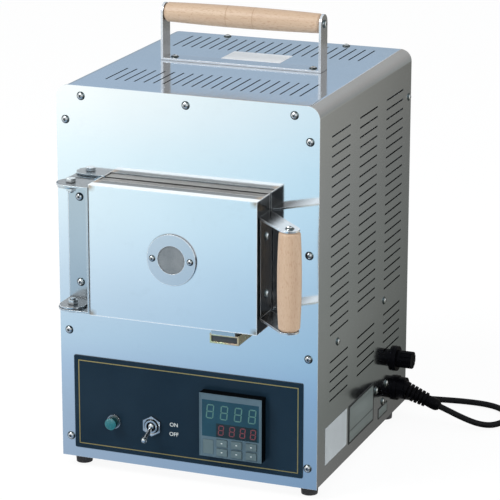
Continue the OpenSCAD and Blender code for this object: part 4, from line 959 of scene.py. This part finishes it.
def white_floor():
    """Pale floor: nearly white to the camera and to mirrors, with the object's shadow kept."""
    m = bpy.data.materials.new("stage_floor")
    t = emptied(m)
    out = t.nodes.new("ShaderNodeOutputMaterial")
    part = t.nodes.new("ShaderNodeMath")
    part.operation = "MULTIPLY"
    part.inputs[1].default_value = 0.88
    t.links.new(seen_rays(t), part.inputs[0])
    blend(t, part.outputs[0], shader(t, "ShaderNodeBsdfDiffuse", (0.93, 0.93, 0.93)),
          shader(t, "ShaderNodeEmission", WHITE, 1.03), out)
    return m


def glow(s, color):
    """Turn a material into a plain glow, for a studio card."""
    lit = s.node("ShaderNodeEmission")
    s.link(color, lit.inputs["Color"])
    s.link(lit.outputs[0], s.t.nodes["Material Output"].inputs["Surface"])
    s.t.nodes.remove(s.bsdf)
    return s.mat


def mirrored(name, axis, plane, stops, fade, middle):
    """A floor card graded so that an upright steel side at `plane` shows `stops` from its foot up."""
    s = Shade(name, WHITE)
    out = s.xyz()
    i, j = (0, 1) if axis == "X" else (1, 0)
    t = s.math("DIVIDE", s.math("SUBTRACT", out[i], plane), EYE[i] - plane)
    whole = s.math("ADD", t, 1.0)
    height = s.math("DIVIDE", s.math("MULTIPLY", t, EYE.z), whole)
    along = s.math("DIVIDE", s.math("MULTIPLY_ADD", t, EYE[j], out[j]), whole)
    off = s.math("SUBTRACT", along, middle)
    tone = s.ramp(s.math("MULTIPLY", height, 2.0), [(2 * z, c) for z, c in stops])
    scale = s.node("ShaderNodeCombineColor")
    for k, amount in enumerate(fade):
        s.link(s.math("MULTIPLY_ADD", off, -amount, 1.0), scale.inputs[k])
    return glow(s, s.mix(1.0, tone, scale.outputs[0], "MULTIPLY"))


def graded(name, axis, stops):
    """A card whose colour changes along one axis; stops are (metres, colour)."""
    s = Shade(name, WHITE)
    low, high = stops[0][0], stops[-1][0]
    place = s.xyz()["XYZ".index(axis)]
    at = s.math("DIVIDE", s.math("SUBTRACT", place, low), high - low)
    return glow(s, s.ramp(at, [((z - low) / (high - low), c) for z, c in stops]))


def card(name, corners, mat):
    """A studio card that only reflections see."""
    obj = mesh(name, [Vector(c) for c in corners], [(0, 1, 2, 3)])
    obj.data.materials.append(mat)
    scene.collection.objects.link(obj)
    for ray in ("camera", "diffuse", "transmission", "volume_scatter", "shadow"):
        setattr(obj, "visible_" + ray, False)
    return obj


FLOOR_HALF, FLOOR_AT = 9, -0.0003
floor = mesh("stage_floor", [(x * FLOOR_HALF, y * FLOOR_HALF, FLOOR_AT)
                             for x, y in ((-1, -1), (1, -1), (1, 1), (-1, 1))], [(0, 1, 2, 3)])
floor.data.materials.append(white_floor())
scene.collection.objects.link(floor)


def flat_card(name, x0, x1, y0, y1, z, mat):
    return card(name, ((x0, y0, z), (x1, y0, z), (x1, y1, z), (x0, y1, z)), mat)


def upright_card(name, x0, x1, y, z0, z1, mat):
    return card(name, ((x0, y, z0), (x1, y, z0), (x1, y, z1), (x0, y, z1)), mat)


CARD_SPLIT_X = 0.1405  # just right of the casing's side
flat_card("card_front", -2.6, CARD_SPLIT_X, -2.6, -0.125, 0.0005, mirrored(
    "card_front", "Y", A(0, 0, 0).y, [
        (0.013, (0.281, 0.383, 0.524)), (0.073, (0.309, 0.426, 0.575)), (0.118, (0.344, 0.484, 0.657)),
        (0.156, (0.426, 0.593, 0.746)), (0.218, (0.512, 0.663, 0.80)), (0.263, (0.599, 0.754, 0.874)),
        (0.313, (0.702, 0.860, 0.943)), (0.364, (0.765, 0.921, 0.986)), (0.408, (0.893, 0.974, 0.996)),
        (0.433, (0.944, 1.0, 1.0))], (1.5, 0.9, 0.5), A(0, 0, 0).x))
flat_card("card_front_right", CARD_SPLIT_X, 2.6, -2.6, -0.125, 0.0005, graded(
    "card_front_right", "X", [
        (CARD_SPLIT_X, (0.22, 0.25, 0.28)), (0.3, (0.15, 0.16, 0.17)), (0.7, (0.15, 0.16, 0.17)),
        (1.4, (0.45, 0.5, 0.54)), (2.6, (0.8, 0.85, 0.9))]))
flat_card("card_side", CARD_SPLIT_X, 2.4, -0.12, 3.2, 0.0006, mirrored(
    "card_side", "X", A(SIDE_X, 0, 0).x, [
        (0.013, (0.186, 0.176, 0.162)), (0.09, (0.174, 0.178, 0.158)), (0.157, (0.218, 0.217, 0.194)),
        (0.225, (0.229, 0.230, 0.206)), (0.326, (0.263, 0.258, 0.236)), (0.426, (0.300, 0.286, 0.252))],
    (1.3, 1.3, 1.3), A(0, 60, 0).y))
upright_card("card_back", -3.0, -0.58, 2.6, 0.0, 3.4, graded(
    "card_back", "Z", [
        (0.0, (0.34, 0.38, 0.42)), (0.95, (0.40, 0.49, 0.58)), (1.1, (0.44, 0.55, 0.68)),
        (1.6, (0.5, 0.6, 0.72)), (2.4, (0.8, 0.86, 0.92)), (3.4, (1.0, 1.0, 1.0))]))
upright_card("card_back_right", -0.56, 3.0, 2.62, 0.0, 3.4, graded(
    "card_back_right", "Z", [
        (0.0, (0.30, 0.30, 0.28)), (1.0, (0.42, 0.39, 0.36)), (1.8, (0.5, 0.48, 0.45)),
        (3.4, (0.9, 0.9, 0.9))]))

world = bpy.data.worlds.new("studio")
scene.world = world
sky = emptied(world)
sky_out = sky.nodes.new("ShaderNodeOutputWorld")
blend(sky, seen_rays(sky), shader(sky, "ShaderNodeBackground", (0.96, 0.98, 1.0), 0.62),
      shader(sky, "ShaderNodeBackground", WHITE, 1.0), sky_out)


def lamp(name, place, power, aim=(0, 0, 0.25), size=1.6):
    """A round area light that looks at the middle of the kiln."""
    data = bpy.data.lights.new(name, "AREA")
    data.shape = "DISK"
    data.size = size
    data.energy = power
    obj = bpy.data.objects.new(name, data)
    scene.collection.objects.link(obj)
    obj.location = place
    obj.rotation_mode = "QUATERNION"
    obj.rotation_quaternion = (Vector(aim) - Vector(place)).to_track_quat("-Z", "Y")


lamp("key", (-1.6, -2.0, 2.6), 62)
lamp("fill", (2.4, -1.2, 1.8), 22)

scene.view_settings.view_transform = "Standard"

bpy.context.view_layer.update()
